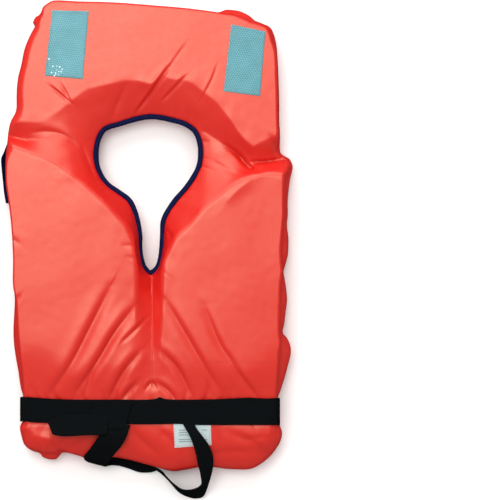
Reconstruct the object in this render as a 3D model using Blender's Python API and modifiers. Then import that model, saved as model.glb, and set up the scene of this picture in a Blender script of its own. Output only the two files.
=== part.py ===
"""Foam life jacket of the yoke kind, lying flat on its back, with a keyhole neck opening and a tied waist belt.

Metres, +Z up. +Y points to the collar, +X to the right of the front. The origin is the middle of the
underside. Lengths below are in millimetres and are multiplied by MM where they are used.
"""

import math

import bmesh
import bpy
import numpy as np
from mathutils import Vector
from mathutils.bvhtree import BVHTree

MM = 0.001

# --- driving dimensions, mm -------------------------------------------------------------------
SEAM_Z = 30.0          # height of the seam that joins front and back fabric
CHEST_UP = 34.0        # front fabric of the chest above the seam
COLLAR_UP = 22.0       # front fabric of the collar above the seam
DOWN = 30.0            # back fabric below the seam, so that it lies on the ground
FABRIC = 1.2           # coated nylon with its seam allowance
SEAM_GAP = 0.5
LIP = 1.55             # top of the fabric lip that the neck binding holds, above the seam
LIP_WIDTH = 9.0
CUT_BACK = 0.9         # the fabric stops this far from the line of the opening
EDGE_CHEST = 26.0      # width of the rounded side edge
EDGE_COLLAR = 20.0
END_GAP = 10.0         # from the fold line to the end of each pocket
END_ROUND = 28.0       # width of the rounded pocket end at the fold
FOAM_SHEET = 14.8
FOAM_PITCH = 15.15
FOAM_LOW = 1.9
COLLAR_SHEET = 15.6
COLLAR_PITCH = 15.95
BELT_WIDTH = 38.0
BELT_THICK = 1.6
BELT_Y = -228.0
BELT_DENT_FRONT = 10.0
BELT_DENT_BACK = 5.0
CHANNEL_X = 6.0        # the channel between the two chest blocks
TAPE_SIZE = (50.0, 95.0)
LABEL_SIZE = (54.0, 46.0)
WHISTLE_SIZE = (10.5, 46.0, 9.0)

# the fold between collar and chest: a point on it and its direction in plan
FOLD_POINT = Vector((2.8, 131.0, SEAM_Z))
FOLD_ALONG = Vector((0.99794, -0.06416, 0.0))
FOLD_OUT = Vector((0.06416, 0.99794, 0.0))

# --- outlines, mm -------------------------------------------------------------------------------
# left and right sides of the jacket in plan, from the collar's upper corners to the hem
SIDE_LEFT = [(-163, 326), (-170, 298), (-179, 268), (-185, 240), (-188, 212), (-189, 190), (-194, 174),
             (-198, 158), (-199, 144), (-197, 120), (-197, 96), (-197, 70), (-195, 42), (-192, 0), (-189, -43),
             (-187, -86), (-190, -121), (-188, -150), (-182, -176), (-179, -196), (-179, -228), (-179, -250),
             (-182, -262), (-180, -272)]
SIDE_RIGHT = [(180, 303), (184, 268), (187, 212), (188, 180), (189, 155), (191, 138), (203, 124), (206, 108),
              (203, 90), (200, 70), (199, 40), (202, 4), (195, -32), (199, -70), (194, -111), (203, -143),
              (199, -168), (191, -188), (188, -200), (188, -228), (188, -250), (192, -262), (190, -278)]
TOP = [(-163, 326), (-153, 340), (-133, 351), (-102, 354), (-67, 353), (-10, 349), (47, 344), (92, 340),
       (121, 342), (146, 333), (169, 319), (180, 303)]
HEM = [(-180, -272), (-176, -280), (-166, -287), (-138, -294), (-109, -292), (-74, -296), (-31, -301), (4, -309),
       (47, -314), (82, -310), (132, -313), (158, -307), (175, -296), (186, -285), (190, -278)]
# edge of the keyhole opening, as the fabric is cut under its binding
NECK = [(4, 184), (-32, 179), (-54, 169), (-67, 154), (-70, 135), (-66, 115), (-54, 97), (-37, 82), (-23, 70),
        (-15, 55), (-11, 35), (-8, 6), (-4, -19), (5, -29), (14, -19), (16, 6), (19, 35), (26, 55), (36, 70),
        (47, 82), (57, 96), (67, 115), (73, 135), (72, 152), (61, 169), (37, 179)]

scene = bpy.context.scene
for old in list(bpy.data.objects):
    bpy.data.objects.remove(old)
jacket = bpy.data.collections.new("life_jacket")
scene.collection.children.link(jacket)
cutters = bpy.data.collections.new("cutters")
scene.collection.children.link(cutters)


# --- helpers ------------------------------------------------------------------------------------
def spline(points, closed=False, steps=12):
    """A smooth centripetal curve through the points, as a dense list."""
    pts = [np.array(p, float) for p in points]
    n = len(pts)
    out = []
    for i in range(n if closed else n - 1):
        if closed:
            p0, p1, p2, p3 = (pts[(i + k) % n] for k in (-1, 0, 1, 2))
        else:
            p1, p2 = pts[i], pts[i + 1]
            p0 = pts[i - 1] if i else 2 * p1 - p2
            p3 = pts[i + 2] if i + 2 < n else 2 * p2 - p1
        t0 = 0.0
        t1 = t0 + max(np.linalg.norm(p1 - p0), 1e-6) ** 0.5
        t2 = t1 + max(np.linalg.norm(p2 - p1), 1e-6) ** 0.5
        t3 = t2 + max(np.linalg.norm(p3 - p2), 1e-6) ** 0.5
        for k in range(steps):
            t = t1 + (t2 - t1) * k / steps
            a1 = (t1 - t) / (t1 - t0) * p0 + (t - t0) / (t1 - t0) * p1
            a2 = (t2 - t) / (t2 - t1) * p1 + (t - t1) / (t2 - t1) * p2
            a3 = (t3 - t) / (t3 - t2) * p2 + (t - t2) / (t3 - t2) * p3
            b1 = (t2 - t) / (t2 - t0) * a1 + (t - t0) / (t2 - t0) * a2
            b2 = (t3 - t) / (t3 - t1) * a2 + (t - t1) / (t3 - t1) * a3
            out.append((t2 - t) / (t2 - t1) * b1 + (t - t1) / (t2 - t1) * b2)
    if not closed:
        out.append(pts[-1])
    return np.array(out)


def at_length(line, share):
    """The point this share of the way along a polyline."""
    step = np.linalg.norm(np.diff(line, axis=0), axis=1)
    run = np.concatenate([[0], np.cumsum(step)])
    return np.array([np.interp(share * run[-1], run, line[:, k]) for k in range(line.shape[1])])


def x_of(line, y):
    """x of a side line, which runs down in y, at height y."""
    order = np.argsort(line[:, 1])
    return float(np.interp(y, line[order, 1], line[order, 0]))


def rounded(share):
    """Height share of a rounded edge, at a share of its width from 0 to 1."""
    share = min(max(share, 0.0), 1.0)
    return math.sqrt(max(0.0, 1 - (1 - share) ** 2))


def material(name, colour, roughness, metallic=0.0):
    mat = bpy.data.materials.get(name) or bpy.data.materials.new(name)
    mat.use_nodes = True
    shader = mat.node_tree.nodes["Principled BSDF"]
    shader.inputs["Base Color"].default_value = (*colour, 1)
    shader.inputs["Roughness"].default_value = roughness
    shader.inputs["Metallic"].default_value = metallic
    return mat


SHELL = material("orange_nylon", (0.87, 0.14, 0.07), 0.55)
FOAM = material("white_foam", (0.85, 0.85, 0.82), 0.8)
NAVY = material("navy_binding", (0.01, 0.02, 0.09), 0.7)
BLACK = material("black_webbing", (0.008, 0.009, 0.011), 0.75)
TAPE = material("reflective_tape", (0.22, 0.56, 0.62), 0.3)
LABEL = material("white_label", (0.7, 0.78, 0.78), 0.6)
PLASTIC = material("orange_plastic", (0.85, 0.16, 0.03), 0.35)


def add(name, bm, mat, where=jacket, smooth=35):
    """A named object from a bmesh whose points are in millimetres."""
    bmesh.ops.scale(bm, vec=(MM, MM, MM), verts=bm.verts)
    mesh = bpy.data.meshes.new(name)
    bm.to_mesh(mesh)
    bm.free()
    obj = bpy.data.objects.new(name, mesh)
    where.objects.link(obj)
    if mat:
        mesh.materials.append(mat)
    mesh.shade_smooth()
    mesh.set_sharp_from_angle(angle=math.radians(smooth))
    return obj


def thicken(obj, thickness, offset=-1.0, even=True):
    shell = obj.modifiers.new("cloth_thickness", "SOLIDIFY")
    shell.thickness = thickness * MM
    shell.offset = offset
    shell.use_even_offset = even
    return obj


def cut(obj, cutter):
    boolean = obj.modifiers.new("cut_" + cutter.name, "BOOLEAN")
    boolean.operation = "DIFFERENCE"
    boolean.object = cutter
    boolean.solver = "EXACT"
    return obj


def cutter_box(name, low, high):
    bm = bmesh.new()
    bmesh.ops.create_cube(bm, size=1)
    size = [high[k] - low[k] for k in range(3)]
    bmesh.ops.scale(bm, vec=size, verts=bm.verts)
    bmesh.ops.translate(bm, vec=[(high[k] + low[k]) / 2 for k in range(3)], verts=bm.verts)
    obj = add(name, bm, None, cutters)
    obj.hide_render = True
    obj.display_type = "WIRE"
    return obj


def shaped_grid(columns, rows, place):
    """A grid primitive whose vertex (row, column) moves to place(row, column)."""
    bm = bmesh.new()
    bmesh.ops.create_grid(bm, x_segments=columns - 1, y_segments=rows - 1, size=1)
    ordered = sorted(bm.verts, key=lambda v: (round(v.co.y * (rows - 1)), round(v.co.x * (columns - 1))))
    for i, v in enumerate(ordered):
        v.co = place(i // columns, i % columns)
    return bm, ordered


def evaluated_tree(obj):
    bpy.context.view_layer.update()
    return BVHTree.FromObject(obj, bpy.context.evaluated_depsgraph_get())


def drop_on(tree, x, y, gap):
    """Height just above a surface, seen from above, in mm."""
    hit = tree.ray_cast(Vector((x * MM, y * MM, 0.2)), Vector((0, 0, -1)))[0]
    return hit.z / MM + gap


left_line, right_line = spline(SIDE_LEFT), spline(SIDE_RIGHT)
hem_line, top_line = spline(HEM), spline(TOP)
neck_line = spline(NECK, closed=True)
n_steps = 12
neck_bottom = 13 * n_steps
neck_left, neck_right = neck_line[: neck_bottom + 1], neck_line[neck_bottom:]


def fold_share(point):
    """Distance of a point in plan from the fold line, positive on the collar's side."""
    return (point[0] - FOLD_POINT.x) * FOLD_OUT.x + (point[1] - FOLD_POINT.y) * FOLD_OUT.y


def on_line_at(line, s, low, high):
    """The point of a polyline whose distance from the fold line is s, between two heights."""
    d = np.array([fold_share(p) for p in line]) - s
    for i in range(len(line) - 1):
        if low <= line[i][1] <= high and d[i] * d[i + 1] <= 0 and d[i] != d[i + 1]:
            f = d[i] / (d[i] - d[i + 1])
            return line[i] + f * (line[i + 1] - line[i])
    raise ValueError("the line does not reach that distance")


# --- chest pocket: rows across both lobes, from the fold down to the hem ----------------------------
END_STEPS = [0.0, 2.0, 7.5, 16.0, END_ROUND]
FAN_LEFT = [(88, 84), (66, 66), (44, 48), (22, 30), (0, 12), (-17, -6), (-30, -20), (-39, -26), (-42, -32), (-48, -38.5)]
FAN_RIGHT = [(66, 78), (48, 62), (30, 46), (12, 28), (-4, 12), (-19, -6), (-31, -20), (-39, -26), (-42, -32), (-48, -38.5)]
STRAIGHT = [-56, -74, -98, -122, -146, -168, -185, -196, -206, -250, -260]
HEM_STEPS = [26.0, 16.0, 8.0, 2.0, 0.0]
HEM_ENDS_LEFT = [(-181, -268), (-180, -276), (-176, -281), (-170, -285.5), (-166, -287)]
HEM_ENDS_RIGHT = [(191, -270), (190, -280), (185, -287), (178, -293.5), (175, -296)]


def on_side(line, y):
    return np.array([x_of(line, y), y])


def on_neck(line, y):
    return np.array([x_of(line, y) if y > -28 else CHANNEL_X, y])


def chest_rows():
    """Each row: outer and inner ends left, the same right, slope width, end share, dents, centre share."""
    rows = []
    for d in END_STEPS:
        s = -(END_GAP + d)
        rows.append(dict(
            ol=on_line_at(left_line, s, 60, 180), il=on_line_at(neck_left, s, 60, 160),
            our=on_line_at(right_line, s, 60, 180), ir=on_line_at(neck_right, s, 60, 160),
            w=44.0 - 0.25 * d, end=rounded(d / END_ROUND), open=True))
    for (lo, li), (ro, ri), w in zip(FAN_LEFT, FAN_RIGHT, [28, 20, 16, 15, 14, 14, 14, 14, 14, 14]):
        rows.append(dict(ol=on_side(left_line, lo), il=on_neck(neck_left, li), our=on_side(right_line, ro),
                         ir=on_neck(neck_right, ri), w=w, end=1.0, open=li > -28))
    for y in STRAIGHT:
        rows.append(dict(ol=np.array([x_of(left_line, y), y]), il=np.array([CHANNEL_X, y]),
                         our=np.array([x_of(right_line, y), y]), ir=np.array([CHANNEL_X, y]), w=12.0, end=1.0,
                         open=False))
    for d, left, right in zip(HEM_STEPS, HEM_ENDS_LEFT, HEM_ENDS_RIGHT):
        y = x_of(hem_line[:, ::-1], CHANNEL_X) + d
        rows.append(dict(ol=np.array(left, float), il=np.array([CHANNEL_X, y]), our=np.array(right, float),
                         ir=np.array([CHANNEL_X, y]), w=12.0, end=rounded(d / EDGE_CHEST), open=False, hem=d))
    for r in rows:
        y = r["il"][1]
        r["dent_front"] = BELT_DENT_FRONT if -250 <= y <= -206 else 0.0
        r["dent_back"] = BELT_DENT_BACK if -260 <= y <= -196 else 0.0
        r["lip"] = LIP_WIDTH if y > -39 else 3.0
        # how high the middle of the channel stands, as a share of the height beside it
        r["centre"] = float(np.interp(y, [-300, -260, -100, -50, -39], [0.9, 0.8, 0.62, 0.25, 0.0]))
        r["centre_back"] = float(np.interp(y, [-80, -50, -39], [1.0, 0.6, 0.0]))
    return rows


OUTER = [0.0, 0.07, 0.3, 0.62, 1.0]          # shares of the rounded edge
INNER = [1.0, 0.62, 0.3, 0.0]                # shares of the slope beside the neck, before the lip
ROWS = chest_rows()
COLUMNS = len(OUTER) + 1 + len(INNER) + 1    # on each side


def chest_column(row, side, k, edge):
    """Plan position and the two height shares of column k, counted from the outer edge."""
    outer, inner = (row["ol"], row["il"]) if side < 0 else (row["our"], row["ir"])
    span = inner - outer
    length = float(np.linalg.norm(span))
    lip = row["lip"]
    if k < len(OUTER):
        d, out_share, in_share = OUTER[k] * edge, rounded(OUTER[k]), 1.0
    elif k == len(OUTER):
        d, out_share, in_share = (edge + length - row["w"] - lip) / 2, 1.0, 1.0
    elif k <= len(OUTER) + len(INNER):
        t = INNER[k - len(OUTER) - 1]
        d, out_share, in_share = length - lip - t * row["w"], 1.0, math.sin(t * math.pi / 2)
    else:
        d, out_share, in_share = length - (CUT_BACK if row["open"] else 0.0), 1.0, 0.0
    point = outer + span * (d / length)
    if "hem" in row and 0 < k < COLUMNS - 1:
        # the last rows follow the wavy hem
        y = x_of(hem_line[:, ::-1], point[0]) + row["hem"]
        blend = min(1.0, d / (edge * 1.0))
        point = np.array([point[0], point[1] + (y - point[1]) * blend])
    return point, out_share, in_share


def chest_place(front):
    def place(r, c):
        row = ROWS[r]
        side, k = (-1, c) if c < COLUMNS else (1, 2 * COLUMNS - 1 - c)
        point, out_share, in_share = chest_column(row, side, k, EDGE_CHEST)
        height, dent, centre = (CHEST_UP, row["dent_front"], row["centre"]) if front else (
            DOWN, row["dent_back"], row["centre_back"])
        rise = (height - dent - SEAM_GAP) * out_share * (centre + (1 - centre) * in_share) * row["end"]
        flat = "hem" not in row and (k >= COLUMNS - 2 or row["end"] == 0 or k == 0 and row["end"] < 0.8)
        rise = SEAM_GAP + (max(rise, LIP - SEAM_GAP) if flat else rise)
        z = SEAM_Z + rise if front else SEAM_Z - rise
        return Vector((point[0], point[1], z))
    return place


def chest_cover(name, front):
    bm, ordered = shaped_grid(2 * COLUMNS, len(ROWS), chest_place(front))
    gap = []
    for r in range(len(ROWS) - 1):
        if ROWS[r]["open"]:
            pair = {ordered[r * 2 * COLUMNS + COLUMNS - 1], ordered[r * 2 * COLUMNS + COLUMNS]}
            gap += [f for f in bm.faces if pair <= set(f.verts) and
                    {ordered[(r + 1) * 2 * COLUMNS + COLUMNS - 1], ordered[(r + 1) * 2 * COLUMNS + COLUMNS]} <= set(f.verts)]
    bmesh.ops.delete(bm, geom=gap, context="FACES")
    bmesh.ops.remove_doubles(bm, verts=bm.verts, dist=0.01)
    bmesh.ops.dissolve_degenerate(bm, dist=0.01, edges=bm.edges)
    bmesh.ops.recalc_face_normals(bm, faces=bm.faces)
    up = sum(f.normal.z * f.calc_area() for f in bm.faces)
    if (up > 0) != front:
        bmesh.ops.reverse_faces(bm, faces=bm.faces)
    return thicken(add(name, bm, SHELL), FABRIC, even=False)


chest_front = chest_cover("chest_front_cover", True)
chest_back = chest_cover("chest_back_cover", False)

# --- collar pocket: stations from the left end of the fold, round the top, to its right end ---------
outer_arch = np.vstack([left_line[::-1][:-1], top_line[:-1], right_line])
neck_arch = np.vstack([neck_line[: 6 * n_steps + 1][::-1], neck_line[::-1][: 8 * n_steps]])


def collar_stations():
    stations = []
    ends_left, ends_right = [], []
    for d in END_STEPS:
        s = END_GAP + d
        ends_left.append((on_line_at(left_line, s, 120, 240), on_line_at(neck_left, s, 120, 184), rounded(d / END_ROUND), d))
        ends_right.append((on_line_at(right_line, s, 100, 240), on_line_at(neck_right[::-1], s, 120, 184), rounded(d / END_ROUND), d))
    first, last = ends_left[-1], ends_right[-1]

    def between(line, a, b):
        i = int(np.argmin(np.linalg.norm(line - a, axis=1)))
        j = int(np.argmin(np.linalg.norm(line - b, axis=1)))
        return np.vstack([[a], line[i + 1: j], [b]])

    outer, neck = between(outer_arch, first[0], last[0]), between(neck_arch, first[1], last[1])
    shares = [0.05, 0.10, 0.15, 0.2, 0.235, 0.255, 0.275, 0.3, 0.335, 0.38, 0.43, 0.48, 0.53, 0.58, 0.63, 0.67, 0.7, 0.725, 0.745,
              0.77, 0.8, 0.85, 0.9, 0.95]
    for p, n, e, d in ends_left:
        stations.append(dict(p=p, n=n, end=e, w=44.0))
    for t in shares:
        stations.append(dict(p=at_length(outer, t), n=at_length(neck, 0.5 + (t - 0.5) * 0.96), end=1.0,
                             w=44.0 + 10.0 * math.sin(math.pi * t)))
    for p, n, e, d in reversed(ends_right):
        stations.append(dict(p=p, n=n, end=e, w=44.0))
    return stations


STATIONS = collar_stations()
RINGS = len(OUTER) + 1 + len(INNER) + 1


def collar_place(front):
    def place(r, c):
        station = STATIONS[r]
        span = station["n"] - station["p"]
        length = float(np.linalg.norm(span))
        if c < len(OUTER):
            d, out_share, in_share = OUTER[c] * EDGE_COLLAR, rounded(OUTER[c]), 1.0
        elif c == len(OUTER):
            d, out_share, in_share = (EDGE_COLLAR + length - station["w"] - LIP_WIDTH) / 2, 1.0, 1.0
        elif c <= len(OUTER) + len(INNER):
            t = INNER[c - len(OUTER) - 1]
            d, out_share, in_share = length - LIP_WIDTH - t * station["w"], 1.0, math.sin(t * math.pi / 2)
        else:
            d, out_share, in_share = length - CUT_BACK, 1.0, 0.0
        point = station["p"] + span * (d / length)
        height = COLLAR_UP if front else DOWN
        rise = (height - SEAM_GAP) * out_share * in_share * station["end"]
        rise = SEAM_GAP + (max(rise, LIP - SEAM_GAP) if c >= RINGS - 2 or station["end"] == 0 or c == 0 and station["end"] < 0.8
                           else rise)
        return Vector((point[0], point[1], SEAM_Z + rise if front else SEAM_Z - rise))
    return place


def collar_cover(name, front):
    bm, _ = shaped_grid(RINGS, len(STATIONS), collar_place(front))
    bmesh.ops.recalc_face_normals(bm, faces=bm.faces)
    up = sum(f.normal.z * f.calc_area() for f in bm.faces)
    if (up > 0) != front:
        bmesh.ops.reverse_faces(bm, faces=bm.faces)
    return thicken(add(name, bm, SHELL), FABRIC, even=False)


collar_front = collar_cover("collar_front_cover", True)
collar_back = collar_cover("collar_back_cover", False)


# --- buoyant foam: sheets cut to an outline and stacked inside each pocket ------------------------------
def sheet(name, outline, low, thickness, groove=None):
    curve = bpy.data.curves.new(name, "CURVE")
    curve.dimensions = "2D"
    curve.fill_mode = "BOTH"
    curve.extrude = thickness / 2 * MM
    line = curve.splines.new("POLY")
    line.points.add(len(outline) - 1)
    for point, (x, y) in zip(line.points, outline):
        point.co = (x * MM, y * MM, 0, 1)
    line.use_cyclic_u = True
    guide = bpy.data.objects.new(name + "_outline", curve)
    jacket.objects.link(guide)
    guide.location.z = (low + thickness / 2) * MM
    bpy.context.view_layer.update()
    mesh = bpy.data.meshes.new_from_object(guide.evaluated_get(bpy.context.evaluated_depsgraph_get()))
    bm = bmesh.new()
    bm.from_mesh(mesh)
    bmesh.ops.remove_doubles(bm, verts=bm.verts, dist=1e-6)
    bm.to_mesh(mesh)
    bm.free()
    obj = bpy.data.objects.new(name, mesh)
    jacket.objects.link(obj)
    obj.matrix_world = guide.matrix_world
    bpy.data.objects.remove(guide)
    mesh.materials.clear()
    mesh.materials.append(FOAM)
    if groove:
        cut(obj, groove)
    return obj


def lobe(side, outer_inset, neck_inset, first, last):
    """Plan outline of one chest sheet, from row first to row last."""
    out, inn = [], []
    for r in range(first, last + 1):
        row = ROWS[r]
        a, b = (row["ol"], row["il"]) if side < 0 else (row["our"], row["ir"])
        span = b - a
        length = float(np.linalg.norm(span))
        tight = 8.5 if -290 < row["il"][1] < -180 else 0.0
        start = outer_inset + tight
        stop = length - row["lip"] - neck_inset * row["w"] - 2.0
        p, q = a + span * start / length, a + span * stop / length
        if "hem" in row:
            p = np.array([p[0], max(p[1], x_of(hem_line[:, ::-1], p[0]) + row["hem"] + 5.0)])
            q = np.array([q[0], x_of(hem_line[:, ::-1], q[0]) + row["hem"] + 5.0])
        out.append(p)
        inn.append(q)
    return [tuple(p) for p in out] + [tuple(p) for p in reversed(inn)]


groove_front = cutter_box("belt_dent_front", (-260, -262, 51.6), (260, -194, 90))
groove_back = cutter_box("belt_dent_back", (-260, -330, -20), (260, -183, 6.8))
hem_last = len(ROWS) - 1
for side, word in ((-1, "left"), (1, "right")):
    for i in range(4):
        if i in (0, 3):
            outline = lobe(side, 27.0, 1.04, 4, hem_last - 4)
            groove = groove_back if i == 0 else groove_front
        else:
            outline = lobe(side, 9.0, 0.62, 3, hem_last - 3)
            groove = None
        sheet(f"chest_foam_{word}_{i + 1}", outline, FOAM_LOW + i * FOAM_PITCH, FOAM_SHEET, groove)


def arch(outer_inset, neck_inset, trim):
    out, inn = [], []
    for station in STATIONS[trim: len(STATIONS) - trim]:
        span = station["n"] - station["p"]
        length = float(np.linalg.norm(span))
        out.append(station["p"] + span * outer_inset / length)
        inn.append(station["p"] + span * (length - LIP_WIDTH - neck_inset * station["w"]) / length)
    return [tuple(p) for p in out] + [tuple(p) for p in reversed(inn)]


sheet("collar_foam_1", arch(21.0, 1.04, 4), FOAM_LOW, COLLAR_SHEET)
sheet("collar_foam_2", arch(8.0, 0.66, 3), FOAM_LOW + COLLAR_PITCH, COLLAR_SHEET)
sheet("collar_foam_3", arch(21.0, 1.04, 4), FOAM_LOW + 2 * COLLAR_PITCH, COLLAR_SHEET - 1.2)


# --- neck binding: a folded tape, open towards the fabric it holds ------------------------------------------
def binding(name, line):
    """Sweep the section along a path that runs with the fabric on its right."""
    # across the tape, from the opening towards the fabric, then height
    shape = [(-2.6, -2.0), (-1.6, -2.9), (5.2, -2.9), (5.2, -1.95), (-0.6, -1.95), (-0.6, 1.95), (5.2, 1.95),
             (5.2, 2.9), (-1.6, 2.9), (-2.6, 2.0)]
    path = np.array(line)
    along = np.gradient(path, axis=0)
    along /= np.linalg.norm(along, axis=1)[:, None]

    def place(r, c):
        across, height = shape[c % len(shape)]
        return Vector((path[r][0] + along[r][1] * across, path[r][1] - along[r][0] * across, SEAM_Z + height))

    bm, ordered = shaped_grid(len(shape) + 1, len(path), place)
    bmesh.ops.remove_doubles(bm, verts=bm.verts, dist=0.001)
    bmesh.ops.holes_fill(bm, edges=[e for e in bm.edges if e.is_boundary], sides=0)
    bmesh.ops.recalc_face_normals(bm, faces=bm.faces)
    return add(name, bm, NAVY)


def binding_part(line, count):
    return [at_length(line, k / (count - 1)) for k in range(count)]


split_left_low = on_line_at(neck_left, -2.6, 60, 160)
split_right_low = on_line_at(neck_right, -2.6, 60, 160)
split_left_up = on_line_at(neck_left, 2.6, 60, 184)
split_right_up = on_line_at(neck_right[::-1], 2.6, 60, 184)
loop = neck_line
low_part = np.vstack([[split_left_low], [p for i, p in enumerate(loop) if fold_share(p) < -3.2 and i <= neck_bottom],
                      [p for i, p in enumerate(loop) if fold_share(p) < -3.2 and i > neck_bottom], [split_right_low]])
up_left = [p for i, p in enumerate(loop) if fold_share(p) > 3.2 and i <= neck_bottom]
up_right = [p for i, p in enumerate(loop) if fold_share(p) > 3.2 and i > neck_bottom]
up_part = np.vstack([[split_right_up], up_right, up_left, [split_left_up]])
binding("neck_binding_lower", binding_part(low_part, 58))
binding("neck_binding_upper", binding_part(up_part, 36))


# --- waist belt: one band round the dented waist ----------------------------------------------------------------
def belt_section():
    """The waist's outline in the XZ plane, from left seam over the front and back under, without the channel."""
    left, right = x_of(left_line, BELT_Y), x_of(right_line, BELT_Y)
    front = [(left + EDGE_CHEST * t, SEAM_Z + (CHEST_UP - BELT_DENT_FRONT) * rounded(t)) for t in (0.0, 0.07, 0.3, 0.62, 1.0)]
    front += [(right - EDGE_CHEST * t, SEAM_Z + (CHEST_UP - BELT_DENT_FRONT) * rounded(t)) for t in (1.0, 0.62, 0.3, 0.07, 0.0)]
    back = [(right - EDGE_CHEST * t, SEAM_Z - (DOWN - BELT_DENT_BACK) * rounded(t)) for t in (0.07, 0.3, 0.62, 1.0)]
    back += [(left + EDGE_CHEST * t, SEAM_Z - (DOWN - BELT_DENT_BACK) * rounded(t)) for t in (1.0, 0.62, 0.3, 0.07)]
    return front + back


def offset_loop(loop_points, by):
    """The closed loop moved outwards by a distance, each corner along its mitre."""
    pts = [np.array(p, float) for p in loop_points]
    out = []
    for i, p in enumerate(pts):
        a, b = p - pts[i - 1], pts[(i + 1) % len(pts)] - p
        na = np.array([-a[1], a[0]]) / np.linalg.norm(a)
        nb = np.array([-b[1], b[0]]) / np.linalg.norm(b)
        m = na + nb
        m /= np.linalg.norm(m)
        out.append(p + m * by / max(0.5, float(m @ na)))
    return out


def band(name, section, y_low, y_high, thickness, mat):
    n = len(section)
    bm, _ = shaped_grid(2, n + 1, lambda r, c: Vector((section[r % n][0], (y_low, y_high)[c], section[r % n][1])))
    bmesh.ops.remove_doubles(bm, verts=bm.verts, dist=0.001)
    bmesh.ops.recalc_face_normals(bm, faces=bm.faces)
    centre = Vector((np.mean([p[0] for p in section]), 0, np.mean([p[1] for p in section])))
    out = sum(f.normal.dot(Vector((f.calc_center_median().x, 0, f.calc_center_median().z)) - centre) for f in bm.faces)
    if out < 0:
        bmesh.ops.reverse_faces(bm, faces=bm.faces)
    return thicken(add(name, bm, mat), thickness, 1.0)


band("waist_belt", offset_loop(belt_section(), 0.6), BELT_Y - BELT_WIDTH / 2, BELT_Y + BELT_WIDTH / 2, BELT_THICK, BLACK)


def keeper(name, x):
    """A sewn loop that holds the belt to the back."""
    half = 12.5
    z_end, z_mid = DOWN - DOWN + BELT_DENT_BACK - 0.6, 1.35
    line = [(BELT_Y - 31, z_end), (BELT_Y - 23, z_end), (BELT_Y - 20.5, z_mid), (BELT_Y + 20.5, z_mid), (BELT_Y + 23, z_end),
            (BELT_Y + 31, z_end)]
    bm, _ = shaped_grid(2, len(line), lambda r, c: Vector((x + (-half, half)[c], line[r][0], line[r][1])))
    bmesh.ops.recalc_face_normals(bm, faces=bm.faces)
    if sum(f.normal.z for f in bm.faces) > 0:
        bmesh.ops.reverse_faces(bm, faces=bm.faces)
    return thicken(add(name, bm, BLACK), 1.0, 1.0)


keeper("belt_keeper_left", -96.0)
keeper("belt_keeper_right", 104.0)


# --- straps that lie free: a strip between two edge lines --------------------------------------------------------------
def strap(name, stations, thickness, mat, steps=4):
    """stations: (centre x, y, z, half-width vector x, y, z) along the strap."""
    dense = spline(stations, steps=steps)
    bm, _ = shaped_grid(2, len(dense), lambda r, c: Vector(dense[r][:3]) + (1, -1)[c] * Vector(dense[r][3:]))
    bmesh.ops.recalc_face_normals(bm, faces=bm.faces)
    return thicken(add(name, bm, mat), thickness, 0.0)


belt_top = SEAM_Z + CHEST_UP - BELT_DENT_FRONT + 0.6 + BELT_THICK
knot_z = belt_top + 0.6
# the half-knot's turn over the belt, in front of it
knot = [(-36, -207, knot_z + 0.7), (-39, -216, knot_z + 1.2), (-41, -228, knot_z + 1.3), (-43, -240, knot_z + 1.2), (-46, -248.5, knot_z + 0.6)]
strap("belt_knot", [(*p, 15.0, 0.0, 0.0) for p in knot], BELT_THICK, BLACK, steps=2)
# the short end lies to the left below the belt
belt_end = [(-79.5, -244.8, 62.5), (-86, -245.6, 62.6), (-98, -246.5, 62.8), (-118, -246.5, 62.8), (-133, -245, 62.6)]
strap("belt_end", [(*p, -1.2 - 1.6 * i, 15.5, -4.8) for i, p in enumerate(belt_end)], BELT_THICK, BLACK, steps=2)

# the long end runs down over the hem, under it, out as a loop and back up to the belt
tail = [(-48, -251, 70.6, 16, -7.5, 0.0), (-55, -264, 70.6, 15.5, -8.5, 0.3), (-64, -281, 67, 15.5, -8.5, 0.5),
        (-72, -297, 54, 15.5, -7, 0.5), (-75, -309, 32, 15.5, -5, 0), (-69, -306, 12, 15, -1, -1.0),
        (-48, -301, 3.2, 12, 6, -0.8), (-24, -307, 3.2, 6, 12, -1.0), (0, -322, 14.5, 3, 6, -12.6),
        (18, -332, 15.8, 3, 4, -14.2), (34, -342, 16.2, 4, 5, -14.2), (52, -346, 17, 1, 8, -14), (72, -346, 18, -8, 8, -13),
        (86, -338, 24, -14, 4, -6), (88, -322, 42, -15, 2, -1), (84, -303, 61, -15.5, 2, 0), (75, -284, 69, -14, 5, 0),
        (65, -267, 69.2, -11, 7, 0), (57, -253, 68, -9, 7, 0)]
strap("belt_tail", tail, BELT_THICK, BLACK, steps=4)

# --- reflective tape and label, laid on the fabric ----------------------------------------------------------------------------
collar_tree = evaluated_tree(collar_front)
chest_tree = evaluated_tree(chest_front)


def patch(name, centre, size, turn, tree, gap, thickness, mat, lean=0.0, across=6, along=9):
    """A rectangle laid on a surface, turned in plan by an angle in degrees; lean slants its short sides."""
    a = math.radians(turn)
    ux, uy = Vector((math.cos(a + lean), math.sin(a + lean))), Vector((-math.sin(a), math.cos(a)))

    def place(r, c):
        p = Vector(centre) + ux * size[0] * (c / (across - 1) - 0.5) + uy * size[1] * (r / (along - 1) - 0.5)
        return Vector((p.x, p.y, drop_on(tree, p.x, p.y, gap)))

    bm, _ = shaped_grid(across, along, place)
    bmesh.ops.recalc_face_normals(bm, faces=bm.faces)
    if sum(f.normal.z for f in bm.faces) < 0:
        bmesh.ops.reverse_faces(bm, faces=bm.faces)
    return thicken(add(name, bm, mat), thickness, 1.0)


patch("reflective_tape_left", (-112.0, 290.0), TAPE_SIZE, -6.0, collar_tree, 1.5, 0.5, TAPE, lean=0.03)
patch("reflective_tape_right", (139.0, 266.0), TAPE_SIZE, -6.5, collar_tree, 2.0, 0.5, TAPE, lean=-0.08)
patch("care_label", (66.5, -274.0), (54.0, 27.0), 2.0, chest_tree, 0.9, 0.4, LABEL, across=5, along=7)

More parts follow.
